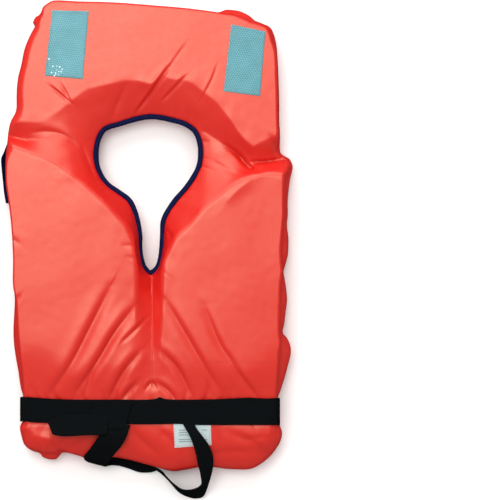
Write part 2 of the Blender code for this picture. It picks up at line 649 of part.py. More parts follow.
# --- whistle on its ribbon, tucked under the left edge below the fold ---------------------------------------------------------------
ribbon = [(-201.6, 138, 29.4, 0.8, 0, 6.0), (-203.2, 128, 27, 1.4, 0, 6.0), (-204.8, 112, 23, 1.8, 0, 5.8),
          (-204.6, 94, 19.8, 2.2, 0, 5.2), (-203.0, 78, 16.0, 2.8, 0.4, 3.2), (-200.6, 69, 12.0, 3.6, 0.3, 1.2),
          (-199.4, 65.8, 8.0, 4.0, 0, 0.3), (-199.1, 68.6, 5.0, 4.0, 0, 0.2)]
strap("whistle_ribbon", ribbon, 1.2, NAVY, steps=3)

bm = bmesh.new()
bmesh.ops.create_cube(bm, size=1)
bmesh.ops.scale(bm, vec=WHISTLE_SIZE, verts=bm.verts)
for v in bm.verts:
    if v.co.y > 0 and v.co.z > 0:
        v.co.z = 2.6
bmesh.ops.bevel(bm, geom=bm.edges[:], offset=2.2, offset_type="OFFSET", segments=3, profile=0.5, affect="EDGES")
bmesh.ops.translate(bm, vec=(-199.15, 95, 5.1), verts=bm.verts)
whistle = add("whistle", bm, PLASTIC)
cut(whistle, cutter_box("whistle_window", (-202.4, 89, 5.8), (-195.9, 95, 18)))
cut(whistle, cutter_box("whistle_air_way", (-202.4, 93, 2.8), (-195.9, 150, 6.0)))

# --- moving pieces hang from an empty on their joint's axis ------------------------------------------------------------------------
def on_axis(name, at, members):
    axis = bpy.data.objects.new(name, None)
    axis.location = [v * MM for v in at]
    axis.empty_display_size = 0.05
    jacket.objects.link(axis)
    bpy.context.view_layer.update()
    for member in members:
        obj = bpy.data.objects[member]
        obj.parent = axis
        obj.matrix_parent_inverse = axis.matrix_world.inverted()
    return axis


on_axis("axis_collar_fold", FOLD_POINT, ["collar_front_cover", "collar_back_cover", "collar_foam_1", "collar_foam_2",
                                         "collar_foam_3", "neck_binding_upper", "reflective_tape_left",
                                         "reflective_tape_right"])
on_axis("axis_whistle_swing", (-201.6, 138, 36.5), ["whistle_ribbon", "whistle"])
on_axis("axis_belt_end_lift", (-78.0, -245, 62.4), ["belt_end"])
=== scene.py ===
"""Looks of a foam life jacket lying on its back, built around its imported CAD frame.

Lengths in the tables are millimetres in the row frame. The jacket's cloth is one closed surface. Its height is
solved as a stretched membrane over the foam blocks, held down at the neck binding, the centre seam and the folds.
"""

import math

import bmesh
import bpy
import numpy as np
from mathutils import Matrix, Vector
from mathutils.bvhtree import BVHTree
from mathutils.kdtree import KDTree


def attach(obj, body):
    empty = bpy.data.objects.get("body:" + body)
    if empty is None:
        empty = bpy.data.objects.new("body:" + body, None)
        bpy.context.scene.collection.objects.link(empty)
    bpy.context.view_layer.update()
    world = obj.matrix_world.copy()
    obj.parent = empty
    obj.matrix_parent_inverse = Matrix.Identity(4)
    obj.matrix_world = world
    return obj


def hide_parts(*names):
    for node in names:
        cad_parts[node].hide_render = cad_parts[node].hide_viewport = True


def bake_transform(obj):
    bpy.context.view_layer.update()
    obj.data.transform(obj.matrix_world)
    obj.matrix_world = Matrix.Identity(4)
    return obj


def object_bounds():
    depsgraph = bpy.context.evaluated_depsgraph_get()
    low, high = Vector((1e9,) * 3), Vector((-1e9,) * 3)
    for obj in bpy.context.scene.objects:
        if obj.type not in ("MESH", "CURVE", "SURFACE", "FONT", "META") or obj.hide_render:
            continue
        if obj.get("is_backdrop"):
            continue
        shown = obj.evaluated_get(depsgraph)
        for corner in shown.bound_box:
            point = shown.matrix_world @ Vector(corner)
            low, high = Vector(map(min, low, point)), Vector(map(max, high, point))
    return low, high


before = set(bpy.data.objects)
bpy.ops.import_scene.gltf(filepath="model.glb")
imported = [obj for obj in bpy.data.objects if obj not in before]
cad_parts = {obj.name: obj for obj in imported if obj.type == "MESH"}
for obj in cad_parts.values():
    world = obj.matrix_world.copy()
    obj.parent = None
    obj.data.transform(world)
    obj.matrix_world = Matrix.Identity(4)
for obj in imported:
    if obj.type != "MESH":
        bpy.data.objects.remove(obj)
cad_box = [[float(c) for c in corner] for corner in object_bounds()]
MM = 0.001

# --- camera, first because everything is seen from it --------------------------------------------------
camera_data = bpy.data.cameras.new("camera")
camera = bpy.data.objects.new("camera", camera_data)
bpy.context.scene.collection.objects.link(camera)
camera_data.sensor_width = 36.0
camera_data.lens = 36.0 * 3.4 / 0.710
camera_data.clip_end = 20
camera.location = (0.1463, 0.0, 3.43)
bpy.context.scene.camera = camera
bpy.context.scene.view_settings.view_transform = "Standard"


# --- small geometry helpers ---------------------------------------------------------------------------------
def spline(points, closed=False, steps=14):
    """A centripetal Catmull-Rom curve through points of any dimension."""
    pts = [np.array(p, float) for p in points]
    n, out = len(pts), []
    for i in range(n if closed else n - 1):
        if closed:
            p0, p1, p2, p3 = (pts[(i + k) % n] for k in (-1, 0, 1, 2))
        else:
            p1, p2 = pts[i], pts[i + 1]
            p0 = pts[i - 1] if i else 2 * p1 - p2
            p3 = pts[i + 2] if i + 2 < n else 2 * p2 - p1
        k01, k12, k23 = (max(np.linalg.norm(b[:2] - a[:2]), 1e-3) ** 0.5 for a, b in ((p0, p1), (p1, p2), (p2, p3)))
        t0, t1 = 0.0, k01
        t2 = t1 + k12
        t3 = t2 + k23
        for k in range(steps):
            t = t1 + (t2 - t1) * k / steps
            a1 = (t1 - t) / (t1 - t0) * p0 + (t - t0) / (t1 - t0) * p1
            a2 = (t2 - t) / (t2 - t1) * p1 + (t - t1) / (t2 - t1) * p2
            a3 = (t3 - t) / (t3 - t2) * p2 + (t - t2) / (t3 - t2) * p3
            b1 = (t2 - t) / (t2 - t0) * a1 + (t - t0) / (t2 - t0) * a2
            b2 = (t3 - t) / (t3 - t1) * a2 + (t - t1) / (t3 - t1) * a3
            out.append((t2 - t) / (t2 - t1) * b1 + (t - t1) / (t2 - t1) * b2)
    if not closed:
        out.append(pts[-1])
    return np.array(out)


def run_of(line, closed=False):
    ring = np.vstack([line, line[:1]]) if closed else line
    return np.concatenate([[0], np.cumsum(np.linalg.norm(np.diff(ring[:, :2], axis=0), axis=1))]), ring


def resample(line, count, closed=False):
    run, ring = run_of(line, closed)
    at = np.linspace(0, run[-1], count, endpoint=not closed)
    return np.stack([np.interp(at, run, ring[:, k]) for k in range(ring.shape[1])], axis=1)


def circular_smooth(values, width):
    kernel = np.hanning(width * 2 + 3)[1:-1]
    kernel /= kernel.sum()
    padded = np.concatenate([values[-width:], values, values[:width]])
    if values.ndim == 1:
        return np.convolve(padded, kernel, mode="valid")
    return np.stack([np.convolve(padded[:, k], kernel, mode="valid") for k in range(values.shape[1])], axis=1)


def smoothstep(a, b, v):
    t = np.clip((v - a) / (b - a), 0, 1)
    return t * t * (3 - 2 * t)


def make(name, verts, faces, mat, smooth=True):
    mesh = bpy.data.meshes.new(name)
    mesh.from_pydata([tuple(v) for v in verts], [], faces)
    mesh.update()
    obj = bpy.data.objects.new(name, mesh)
    bpy.context.scene.collection.objects.link(obj)
    if mat:
        mesh.materials.append(mat)
    if smooth:
        mesh.shade_smooth()
    return obj


def applied(obj):
    """The object with its modifiers applied."""
    graph = bpy.context.evaluated_depsgraph_get()
    bpy.context.view_layer.update()
    mesh = bpy.data.meshes.new_from_object(obj.evaluated_get(graph))
    old = obj.data
    obj.modifiers.clear()
    obj.data = mesh
    mesh.name = old.name
    bpy.data.meshes.remove(old)
    return obj


def remember_rest(obj):
    """Keeps each point's rest position, so that a material stays on the cloth as it bends."""
    co = np.array([v.co for v in obj.data.vertices], np.float32)
    layer = obj.data.attributes.new("rest", "FLOAT_VECTOR", "POINT")
    layer.data.foreach_set("vector", co.ravel())
    return obj


# --- the cloth's outlines ---------------------------------------------------------------------------------------
# silhouette, clockwise from the top middle: x, y, how far inside it the seam lies, the seam's height, and the width
# over which the front rounds down to the seam
EDGE = [
    (4, 348, 1, 34, 8), (61, 343, 1, 34, 8), (99, 338, 1, 34, 8), (111, 342, 7, 34, 9), (119, 342, 8, 36, 8),
    (132, 340, 9, 36, 8), (146, 333, 8, 36, 8), (153, 327, 5, 35, 9), (163, 323, 4, 33, 10), (175, 317, 4, 34, 8),
    (180, 308, 4, 34, 8), (183, 297, 4, 34, 8), (185, 281, 1, 34, 8), (187, 243, 1, 34, 8), (188, 206, 1, 34, 8),
    (188, 185, 1, 34, 8), (189, 163, 1, 34, 8), (189, 142, 4, 30, 16), (191, 137, 4, 31, 16), (203, 129, 4, 32, 15),
    (207, 119, 4, 34, 14), (206, 111, 5, 38, 12), (204, 104, 6, 42, 10), (202, 92, 6, 45, 8), (200, 71, 5, 47, 7),
    (200, 50, 5, 48, 7), (199, 36, 5, 48, 7), (201, 14, 9, 48, 7), (200, -7, 9, 48, 7), (197, -20, 5, 48, 7),
    (194, -31, 1, 47, 7), (196, -43, 5, 48, 7), (198, -57, 8, 48, 7), (199, -71, 9, 48, 7), (197, -88, 8, 48, 7),
    (195, -105, 6, 47, 7), (193, -118, 4, 46, 7), (199, -125, 9, 47, 7), (204, -138, 15, 48, 7),
    (204, -149, 16, 48, 7), (200, -165, 13, 47, 7), (196, -180, 10, 45, 8), (190, -199, 5, 40, 9),
    (186, -211, 1, 34, 10), (186, -227, 1, 32, 10), (187, -245, 1, 32, 12), (192, -260, 2, 31, 24),
    (189, -274, 2, 30, 30), (183, -284, 2, 29, 30), (175, -294, 2, 28, 60), (163, -304, 2, 27, 60),
    (148, -312, 2, 26, 60), (129, -313, 2, 26, 60), (111, -312, 2, 26, 60), (97, -310, 2, 27, 60),
    (72, -310, 2, 28, 60), (61, -312, 2, 28, 60), (44, -315, 2, 28, 60), (33, -315, 2, 28, 60), (18, -311, 2, 28, 60),
    (-3, -305, 2, 29, 60), (-31, -298, 2, 30, 60), (-53, -295, 2, 30, 60), (-67, -297, 2, 30, 60),
    (-81, -300, 2, 30, 60), (-95, -294, 2, 30, 60), (-109, -290, 2, 30, 60), (-121, -289, 4, 30, 30),
    (-125, -293, 6, 30, 30), (-130, -298, 9, 31, 30), (-141, -298, 10, 31, 30), (-149, -295, 7, 31, 30),
    (-153, -290, 4, 30, 30), (-166, -285, 2, 30, 30), (-175, -277, 2, 30, 30), (-179, -266, 2, 31, 24),
    (-181, -251, 1, 32, 14), (-177, -242, 1, 32, 11), (-177, -226, 1, 32, 10), (-176, -211, 1, 34, 10),
    (-180, -196, 5, 38, 9), (-183, -173, 7, 42, 8), (-186, -156, 8, 46, 7), (-189, -135, 9, 46, 7),
    (-190, -114, 8, 46, 7), (-189, -92, 6, 46, 7), (-188, -71, 4, 46, 6), (-189, -50, 1, 46, 6),
    (-189, -11, 1, 46, 6), (-191, 28, 1, 46, 6), (-194, 57, 1, 46, 6), (-196, 71, 1, 46, 6), (-199, 92, 1, 46, 6),
    (-200, 114, 1, 44, 7), (-200, 135, 1, 39, 11), (-199, 151, 1, 32, 16), (-198, 166, 1, 31, 16),
    (-194, 183, 1, 31, 15), (-188, 194, 1, 31, 14), (-186, 202, 1, 31, 14), (-186, 220, 1, 31, 13),
    (-184, 243, 1, 31, 13), (-179, 264, 1, 31, 13), (-175, 284, 1, 31, 13), (-168, 302, 1, 31, 12),
    (-160, 317, 1, 31, 12), (-163, 324, 7, 33, 10), (-162, 327, 8, 33, 9), (-159, 332, 7, 33, 9),
    (-154, 335, 5, 32, 9), (-148, 344, 1, 34, 8), (-141, 350, 1, 34, 8), (-133, 354, 1, 34, 8), (-95, 353, 1, 34, 8),
    (-53, 352, 1, 34, 8)]
# edge of the opening under its binding, clockwise from the top middle
NECK = [(4, 188), (37, 183), (55, 177), (67, 168), (73, 155), (75, 139), (73, 121), (65, 104), (53, 87), (39, 71),
        (27, 53), (22, 41), (21, 22), (20, 3), (18, -12), (14, -24), (5, -31), (-3, -24), (-7, -12), (-9, 3), (-9, 20),
        (-12, 40), (-16, 55), (-24, 71), (-38, 82), (-55, 94), (-64, 106), (-70, 122), (-71, 139), (-68, 156),
        (-60, 170), (-38, 178)]
# which place on the silhouette goes with which on the neck
MATCH = [((4, 348), (4, 188)), ((153, 327), (48, 180)), ((188, 206), (69, 164)), ((189, 150), (75, 145)),
         ((207, 119), (74, 128)), ((200, 50), (59, 95)), ((200, -7), (39, 71)), ((198, -57), (25, 48)),
         ((193, -118), (21, 22)), ((190, -227), (17, -5)), ((189, -274), (14, -16)), ((111, -312), (11, -25)),
         ((5, -308), (6, -31)), ((-109, -290), (1, -26)), ((-175, -277), (-3, -14)), ((-180, -226), (-7, -2)),
         ((-189, -120), (-9, 20)), ((-189, -50), (-15, 52)), ((-191, 20), (-33, 79)), ((-199, 90), (-60, 100)),
         ((-200, 135), (-71, 132)), ((-196, 175), (-69, 152)), ((-186, 215), (-60, 170)), ((-160, 317), (-38, 178)),
         ((-133, 354), (-26, 182))]

STATIONS = 900
RINGS = 140
BACK_RINGS = 46

edge = resample(spline(EDGE, closed=True, steps=10), STATIONS, closed=True)
edge_xy = edge[:, :2]
soft = circular_smooth(edge_xy, max(6, STATIONS // 70))
tangent = np.roll(soft, -1, axis=0) - np.roll(soft, 1, axis=0)
tangent /= np.linalg.norm(tangent, axis=1)[:, None]
outward = np.stack([-tangent[:, 1], tangent[:, 0]], axis=1)
seam_xy = edge_xy - outward * edge[:, 2:3]
neck_dense = resample(spline(NECK, closed=True, steps=10), 1600, closed=True)


def nearest_index(line, p):
    return int(np.argmin(np.linalg.norm(line[:, :2] - np.array(p, float), axis=1)))


edge_run = [nearest_index(edge_xy, a) / STATIONS for a, _ in MATCH]
neck_run = [nearest_index(neck_dense, b) / 1600 for _, b in MATCH]
edge_run[0] = neck_run[0] = 0.0
share = np.interp(np.arange(STATIONS) / STATIONS, edge_run + [1.0], neck_run + [1.0])
share = np.interp(np.arange(STATIONS), np.arange(-30, STATIONS + 30),
                  np.convolve(np.concatenate([share[-40:] - 1, share, share[:40] + 1]), np.hanning(23)[1:-1] /
                              np.hanning(23)[1:-1].sum(), mode="valid")[: STATIONS + 60])
neck_ring = np.vstack([neck_dense, neck_dense[:1]])
share_at = np.mod(share, 1.0) * 1600
neck_xy = np.stack([np.interp(share_at, np.arange(1601), neck_ring[:, k]) for k in (0, 1)], axis=1)

# --- heights on a grid ---------------------------------------------------------------------------------------------
CELL = 1.6
GX, GY = np.meshgrid(np.arange(-224, 224 + CELL, CELL), np.arange(-340, 372 + CELL, CELL))


def signed_inside(poly):
    """Distance to a closed outline on the grid, positive inside it."""
    p = np.array(poly, float)
    best = np.full(GX.shape, 1e9)
    inside = np.zeros(GX.shape, bool)
    for a, b in zip(p, np.roll(p, -1, axis=0)):
        d = b - a
        t = np.clip(((GX - a[0]) * d[0] + (GY - a[1]) * d[1]) / max(d @ d, 1e-9), 0, 1)
        best = np.minimum(best, np.hypot(GX - a[0] - t * d[0], GY - a[1] - t * d[1]))
        if a[1] != b[1]:
            crosses = ((a[1] > GY) != (b[1] > GY)) & (GX < (b[0] - a[0]) * (GY - a[1]) / (b[1] - a[1]) + a[0])
            inside ^= crosses
    return np.where(inside, best, -best)


def along(points):
    """Distance to an open line, the share along it, and the signed side, on the grid."""
    p = spline(points, steps=5)
    run, _ = run_of(p)
    best = np.full(GX.shape, 1e9)
    share_of = np.zeros(GX.shape)
    side = np.zeros(GX.shape)
    for i in range(len(p) - 1):
        a, d = p[i, :2], p[i + 1, :2] - p[i, :2]
        t = np.clip(((GX - a[0]) * d[0] + (GY - a[1]) * d[1]) / max(d @ d, 1e-9), 0, 1)
        ox, oy = GX - a[0] - t * d[0], GY - a[1] - t * d[1]
        dist = np.hypot(ox, oy)
        closer = dist < best
        best = np.where(closer, dist, best)
        share_of = np.where(closer, (run[i] + t * (run[i + 1] - run[i])) / run[-1], share_of)
        side = np.where(closer, np.sign(d[0] * oy - d[1] * ox), side)
    return best, share_of, side


def sample(grid, xy):
    fx = np.clip((xy[..., 0] - GX[0, 0]) / CELL, 0, GX.shape[1] - 1.001)
    fy = np.clip((xy[..., 1] - GY[0, 0]) / CELL, 0, GX.shape[0] - 1.001)
    ix, iy = fx.astype(int), fy.astype(int)
    tx, ty = fx - ix, fy - iy
    return ((grid[iy, ix] * (1 - tx) + grid[iy, ix + 1] * tx) * (1 - ty)
            + (grid[iy + 1, ix] * (1 - tx) + grid[iy + 1, ix + 1] * tx) * ty)


def blur(grid, times):
    for _ in range(times):
        p = np.pad(grid, 1, mode="edge")
        grid = (4 * p[1:-1, 1:-1] + 2 * (p[:-2, 1:-1] + p[2:, 1:-1] + p[1:-1, :-2] + p[1:-1, 2:])
                + p[:-2, :-2] + p[:-2, 2:] + p[2:, :-2] + p[2:, 2:]) / 16
    return grid


def membrane(obstacle, fixed, fixed_height, start, sweeps=420):
    """Cloth pulled tight over an obstacle: it lies on the obstacle or spans freely, and is held where it is fixed."""
    h = np.maximum(start, obstacle)
    parity = (np.add.outer(np.arange(h.shape[0]), np.arange(h.shape[1])) % 2).astype(bool)
    for k in range(sweeps):
        for colour in (parity, ~parity):
            p = np.pad(h, 1, mode="edge")
            mean = (p[:-2, 1:-1] + p[2:, 1:-1] + p[1:-1, :-2] + p[1:-1, 2:]) / 4
            new = np.maximum(h + 1.86 * (mean - h), obstacle)
            h = np.where(colour & ~fixed, new, h)
        h = np.where(fixed, fixed_height, h)
    return h


def band_noise(seed, low, high):
    """Smooth noise with wavelengths between low and high, unit deviation."""
    rng = np.random.default_rng(seed)
    spectrum = np.fft.rfft2(rng.normal(size=GX.shape))
    fy = np.fft.fftfreq(GX.shape[0], CELL)[:, None]
    fx = np.fft.rfftfreq(GX.shape[1], CELL)[None, :]
    f = np.hypot(fx, fy)
    spectrum *= np.exp(-((np.log(np.maximum(f, 1e-6)) - math.log(2 / (low + high))) / 0.45) ** 2)
    out = np.fft.irfft2(spectrum, s=GX.shape)
    return out / out.std()


CRESCENT = [(-106, 204), (-83, 222), (-51, 230), (-17, 235), (7, 231), (22, 242), (33, 238), (55, 235), (76, 222), (97, 205),
            (118, 179), (135, 155), (151, 141)]
LEFT_ARC = [(-260, 168), (-197, 156), (-175, 147), (-148, 137), (-118, 122), (-87, 98), (-62, 77), (-38, 52), (-23, 34),
            (-13, 9), (-9, -17), (-8, -71)]
RIGHT_ARC = [(260, 110), (206, 110), (178, 113), (153, 110), (126, 101), (102, 82), (77, 61), (56, 37), (38, 20), (28, 0),
             (20, -21), (18, -71)]
collar_block = list(spline(CRESCENT, steps=6)) + [(172, 152), (260, 166), (260, 420), (-260, 420), (-260, 186), (-186, 176),
                                                  (-150, 176), (-124, 190)]
left_block = list(spline(LEFT_ARC, steps=6)) + [(-5, -200), (-4, -360), (-260, -360)]
right_block = list(spline(RIGHT_ARC, steps=6)) + [(14, -200), (12, -360), (260, -360)]
in_neck = signed_inside(neck_dense[::10])

pull_from = -150 + 14 * np.sin(GX / 31 + 0.8) + 9 * np.sin(GX / 13.7)
belt_pull = 1 - smoothstep(0, 1, (GY + 213) / (pull_from + 213))
crown = 1.5 * np.cos(np.clip(GY / 330, -1, 1) * 1.2)
below_belt = 0.10 * np.clip(-250 - GY, 0, 60)
left_top = 66.5 + crown - 1.6 * ((GX + 98) / 90) ** 2 - 10.5 * belt_pull - below_belt
right_top = 66.5 + crown - 1.6 * ((GX - 104) / 90) ** 2 - 10.5 * belt_pull - below_belt
collar_top = 55.0 - 1.4 * ((GX - 5) / 160) ** 2 + 0.010 * (GY - 250)


def block(top, poly, radius):
    d = signed_inside(poly)
    drop = radius - np.sqrt(np.clip(radius ** 2 - (radius - np.clip(d, 0, radius)) ** 2, 0, None))
    return np.where(d > 0, top - drop, 0.0)


obstacle = np.maximum.reduce([block(collar_top, collar_block, 4.5), block(left_top, left_block, 9.0),
                              block(right_top, right_block, 9.0)])
fixed = in_neck > -1.0
fixed_height = np.full(GX.shape, 31.0)


def hold(points, heights, radius=1.6):
    """Sews the cloth down along a line, at heights that change along it."""
    global fixed, fixed_height
    dist, t, _ = along(points)
    h = np.interp(t, np.linspace(0, 1, len(heights)), heights)
    near = (dist < radius) & (in_neck < -1.0)
    fixed_height = np.where(near & ~fixed, h, fixed_height)
    fixed = fixed | near


hold([(6, -33), (8.5, -80), (9, -140), (7.5, -194)], [33, 48, 57, 61, 57.5], 1.1)
hold([(-184, -211), (-90, -212), (0, -212), (90, -212), (192, -210)], [55, 58, 58.5, 58, 55])
hold([(-184, -244), (-90, -245), (0, -246), (90, -247), (192, -247)], [55, 57, 57.5, 57, 55])
hold([(-206, 163), (-190, 160), (-172, 156), (-150, 158), (-128, 160)], [36, 41, 45, 49, 52])
hold([(80, 168), (104, 152), (126, 136), (140, 124), (148, 117)], [34, 36, 37, 36, 39])
hold([(150, 125), (168, 126), (187, 129), (200, 131)], [40, 38, 36, 34], 1.2)
height = membrane(obstacle, fixed, fixed_height, np.full(GX.shape, 45.0), 520)
height = blur(height, 1)
above_belt = smoothstep(-212, -200, GY) * (1 - smoothstep(-130, -90, GY)) * smoothstep(8, 22, np.abs(GX - 8))
height = height * (1 - above_belt) + blur(height, 60) * above_belt

# wrinkles: points, groove depth, half width, and how much higher its left side is than its right
WRINKLES = [
    ([(58, 294), (43, 274), (28, 252)], 0.4, 2.4, 0.2), ([(31, 258), (7, 224), (-16, 195)], 3.4, 3.0, 1.8),
    ([(56, 246), (40, 230), (20, 210)], 1.7, 2.6, 0.9), ([(100, 262), (92, 240), (74, 207)], 0.7, 2.2, 0.3),
    ([(-138, 234), (-122, 221), (-104, 206)], 1.3, 2.4, 0.8), ([(-121, 236), (-104, 206)], 0.9, 2.2, 0.4),
    ([(-30, 232), (-42, 206), (-50, 186)], 1.8, 6.0, 0.0),
    ([(-50, -50), (-81, -112), (-105, -158), (-137, -204)], 2.8, 6.0, 1.2),
    ([(-16, -78), (-44, -115), (-68, -155), (-100, -202)], 3.4, 5.5, 1.2),
    ([(3, -92), (-16, -112), (-34, -129)], 1.6, 2.6, 0.8), ([(-7, -140), (-30, -168), (-52, -208)], 3.2, 5.0, 1.0),
    ([(-12, -184), (-36, -211)], 2.4, 3.6, 0.8), ([(-75, -168), (-88, -208)], 1.4, 4.0, 0.3),
    ([(28, -70), (59, -122), (84, -165), (110, -206)], 2.4, 6.0, -1.0),
    ([(82, -78), (105, -133), (126, -165), (137, -198)], 2.0, 6.0, -0.8),
    ([(18, -138), (44, -165), (66, -208)], 2.8, 4.5, -0.8), ([(128, -168), (158, -209)], 2.2, 4.5, -0.6),
    ([(12, -184), (30, -196), (42, -210)], 2.4, 3.4, -0.6), ([(86, -182), (92, -208)], 1.4, 3.4, 0.0),
    ([(16, -196), (8, -186), (-2, -196)], 2.2, 2.0, 0.6),
    ([(-176, -62), (-186, -76)], 1.0, 3.0, 0.0), ([(-196, 22), (-176, 8)], 0.8, 4.0, 0.0),
    ([(-166, 166), (-140, 168), (-112, 160), (-92, 140)], 2.0, 6.0, 0.4),
    ([(-92, 150), (-80, 120), (-70, 96)], 2.0, 5.0, 0.6), ([(-24, 30), (-16, 18), (-13, 2)], 1.2, 2.4, 0.4),
    ([(28, 27), (34, 18), (30, 0)], 1.6, 2.8, 0.6), ([(150, 100), (128, 84), (112, 66)], -1.2, 8.0, 0.0),
    ([(112, 149), (130, 135), (142, 121), (151, 113), (165, 112)], 5.0, 3.6, 0.4),
    ([(147, 125), (166, 125), (192, 129)], 4.6, 2.8, 0.0),
    ([(178, 160), (182, 150), (190, 142)], 3.6, 5.0, 0.0), ([(92, 128), (112, 116), (128, 106)], 1.0, 4.0, 0.5),
    ([(-160, -262), (-120, -268), (-86, -262)], -1.4, 7.0, 0.0), ([(-150, -286), (-120, -272), (-96, -266)], 1.6, 6.0, 0.0),
    ([(-128, -290), (-100, -276), (-74, -258)], 2.6, 6.5, 0.6),
     ([(-20, -252), (-4, -270), (20, -292)], 2.6, 7.0, 0.8), ([(-44, -256), (-30, -276), (-24, -292)], 1.4, 5.0, 0.3),
    ([(20, -254), (34, -266), (40, -284)], 1.8, 5.0, 0.5), ([(120, -256), (140, -266), (172, -262)], 1.6, 5.0, 0.4),
    ([(70, -300), (100, -286), (140, -284), (170, -288)], 1.6, 6.0, 0.6), ([(96, -252), (104, -270), (100, -296)], 1.2, 5.0, 0.0)]
for points, depth, width, step in WRINKLES:
    dist, t, side = along(points)
    collar_side = points[0][1] > 100
    gain = 1.0 if collar_side else 1.15
    depth, step, width = depth * gain, step * gain, width * (0.68 if collar_side else 0.85)
    run_x, run_y = points[-1][0] - points[0][0], points[-1][1] - points[0][1]
    lee = side * (1 if -run_y * 0.35 + run_x * -0.94 > 0 else -1)
    taper = np.sin(np.pi * np.clip(t, 0.02, 0.98)) ** 0.6
    taper *= np.exp(-(np.clip(dist, 0, None) / (6 * width)) ** 2)
    across_it = dist / np.where(lee > 0, 1.45 * width, 0.75 * width)
    groove = -np.exp(-(across_it ** 1.35)) + 0.18 * np.exp(-(((dist - 2.4 * width) / (1.4 * width)) ** 2))
    height += taper * (depth * groove - abs(step) * lee * np.tanh(dist / width) * np.exp(-dist / (4 * width)))

# gathers where the belt pulls the cloth in, above and below it
rng = np.random.default_rng(11)
for _ in range(46):
    x = rng.uniform(-172, 182)
    lean = -(x - 8) / 190 * 14 + rng.normal(0, 4)
    size = rng.uniform(8, 24)
    y = -211 if rng.random() < 0.6 else -249
    up = 1 if y > -230 else -1
    dist, t, side = along([(x, y - 3 * up), (x - lean * 0.5, y + up * size * 0.5), (x - lean, y + up * size)])
    height -= (1.0 if up > 0 else 0.4) * rng.uniform(0.5, 1.5) * np.exp(-((dist / rng.uniform(2.2, 4.2)) ** 2)) * (1 - t) ** 0.7

# short puckers where the binding gathers the cloth
for k in range(34):
    i = int(len(neck_dense) * (k + rng.uniform(-0.3, 0.3)) / 34) % len(neck_dense)
    p, q = neck_dense[i], neck_dense[(i + 8) % len(neck_dense)]
    out = np.array([-(q - p)[1], (q - p)[0]])
    out = out / max(np.linalg.norm(out), 1e-6) + rng.normal(0, 0.25, 2)
    size = rng.uniform(8, 24)
    dist, t, side = along([p + out * 3, p + out * size * 0.6, p + out * size])
    height -= rng.uniform(0.3, 0.9) * np.exp(-((dist / rng.uniform(1.8, 3.2)) ** 2)) * (1 - t) ** 0.7

foam_zone = smoothstep(0, 30, np.maximum.reduce([signed_inside(collar_block), signed_inside(left_block),
                                                 signed_inside(right_block)]))
height += 0.10 * band_noise(3, 60, 120) * foam_zone + 0.02 * band_noise(5, 14, 30)
loose = smoothstep(-30, 6, -in_neck) * (1 - foam_zone)
height += 0.16 * band_noise(8, 24, 50) * loose

# --- the cloth's surface ----------------------------------------------------------------------------------------------------
t = np.linspace(0, 1, RINGS + 1)
ring_share = 0.62 * t + 0.38 * 0.5 * (1 - np.cos(np.pi * t))
tree = KDTree(STATIONS)
for i, p in enumerate(seam_xy):
    tree.insert((p[0], p[1], 0), i)
tree.balance()
neck_tree = KDTree(len(neck_dense) // 2)
for i in range(0, len(neck_dense), 2):
    neck_tree.insert((neck_dense[i, 0], neck_dense[i, 1], 0), i // 2)
neck_tree.balance()


def near(kd, pts, limit):
    """Nearest distance and index, for points that may be close; others get the limit."""
    dist = np.full(len(pts), float(limit))
    index = np.zeros(len(pts), int)
    for k, p in enumerate(pts):
        _, i, d = kd.find((p[0], p[1], 0))
        dist[k], index[k] = min(d, limit), i
    return dist, index


seam_z, seam_w = circular_smooth(edge[:, 3], 4), circular_smooth(edge[:, 4], 4)
seam_w = np.where(seam_w < 10.5, seam_w * 0.6, seam_w)
seam_w = circular_smooth(seam_w, 6)
# small uneven pull of the seam
ripple = circular_smooth(np.random.default_rng(21).normal(size=STATIONS), max(3, STATIONS // 220))
ripple /= ripple.std()
seam_z = seam_z + 0.9 * ripple
front = neck_xy[None] + (seam_xy - neck_xy)[None] * ring_share[:, None, None]
flat = front.reshape(-1, 2)
h = sample(height, flat)
d_seam, i_seam = near(tree, flat, 90.0)
d_neck, _ = near(neck_tree, flat, 40.0)
x = np.clip(d_seam / seam_w[i_seam], 0, 1)
power = np.interp(seam_w[i_seam], [14, 50], [2.3, 1.8])
rise = np.sqrt(np.clip(1 - (1 - x) ** power, 0, 1))
z = seam_z[i_seam] + (h - seam_z[i_seam]) * rise
z = 30.8 + (z - 30.8) * smoothstep(-0.5, 7, d_neck)
front_z = z.reshape(RINGS + 1, STATIONS)

# the sides, from the seam round to the ground
inset = edge[:, 2:3]
ends = []
bulge = edge_xy + outward * 0.0
under = edge_xy - outward * np.minimum(15, 13)
for off, zk in ((0.42, 0.90), (0.78, 0.76), (1.0, 0.58)):
    ends.append(np.concatenate([seam_xy + outward * inset * off, (seam_z * zk)[:, None]], axis=1))
for off, zz in ((-0.4, 15.0), (-2.4, 8.5), (-6.0, 3.8), (-11.0, 1.5)):
    ends.append(np.concatenate([bulge + outward * off, np.full((STATIONS, 1), zz)], axis=1))

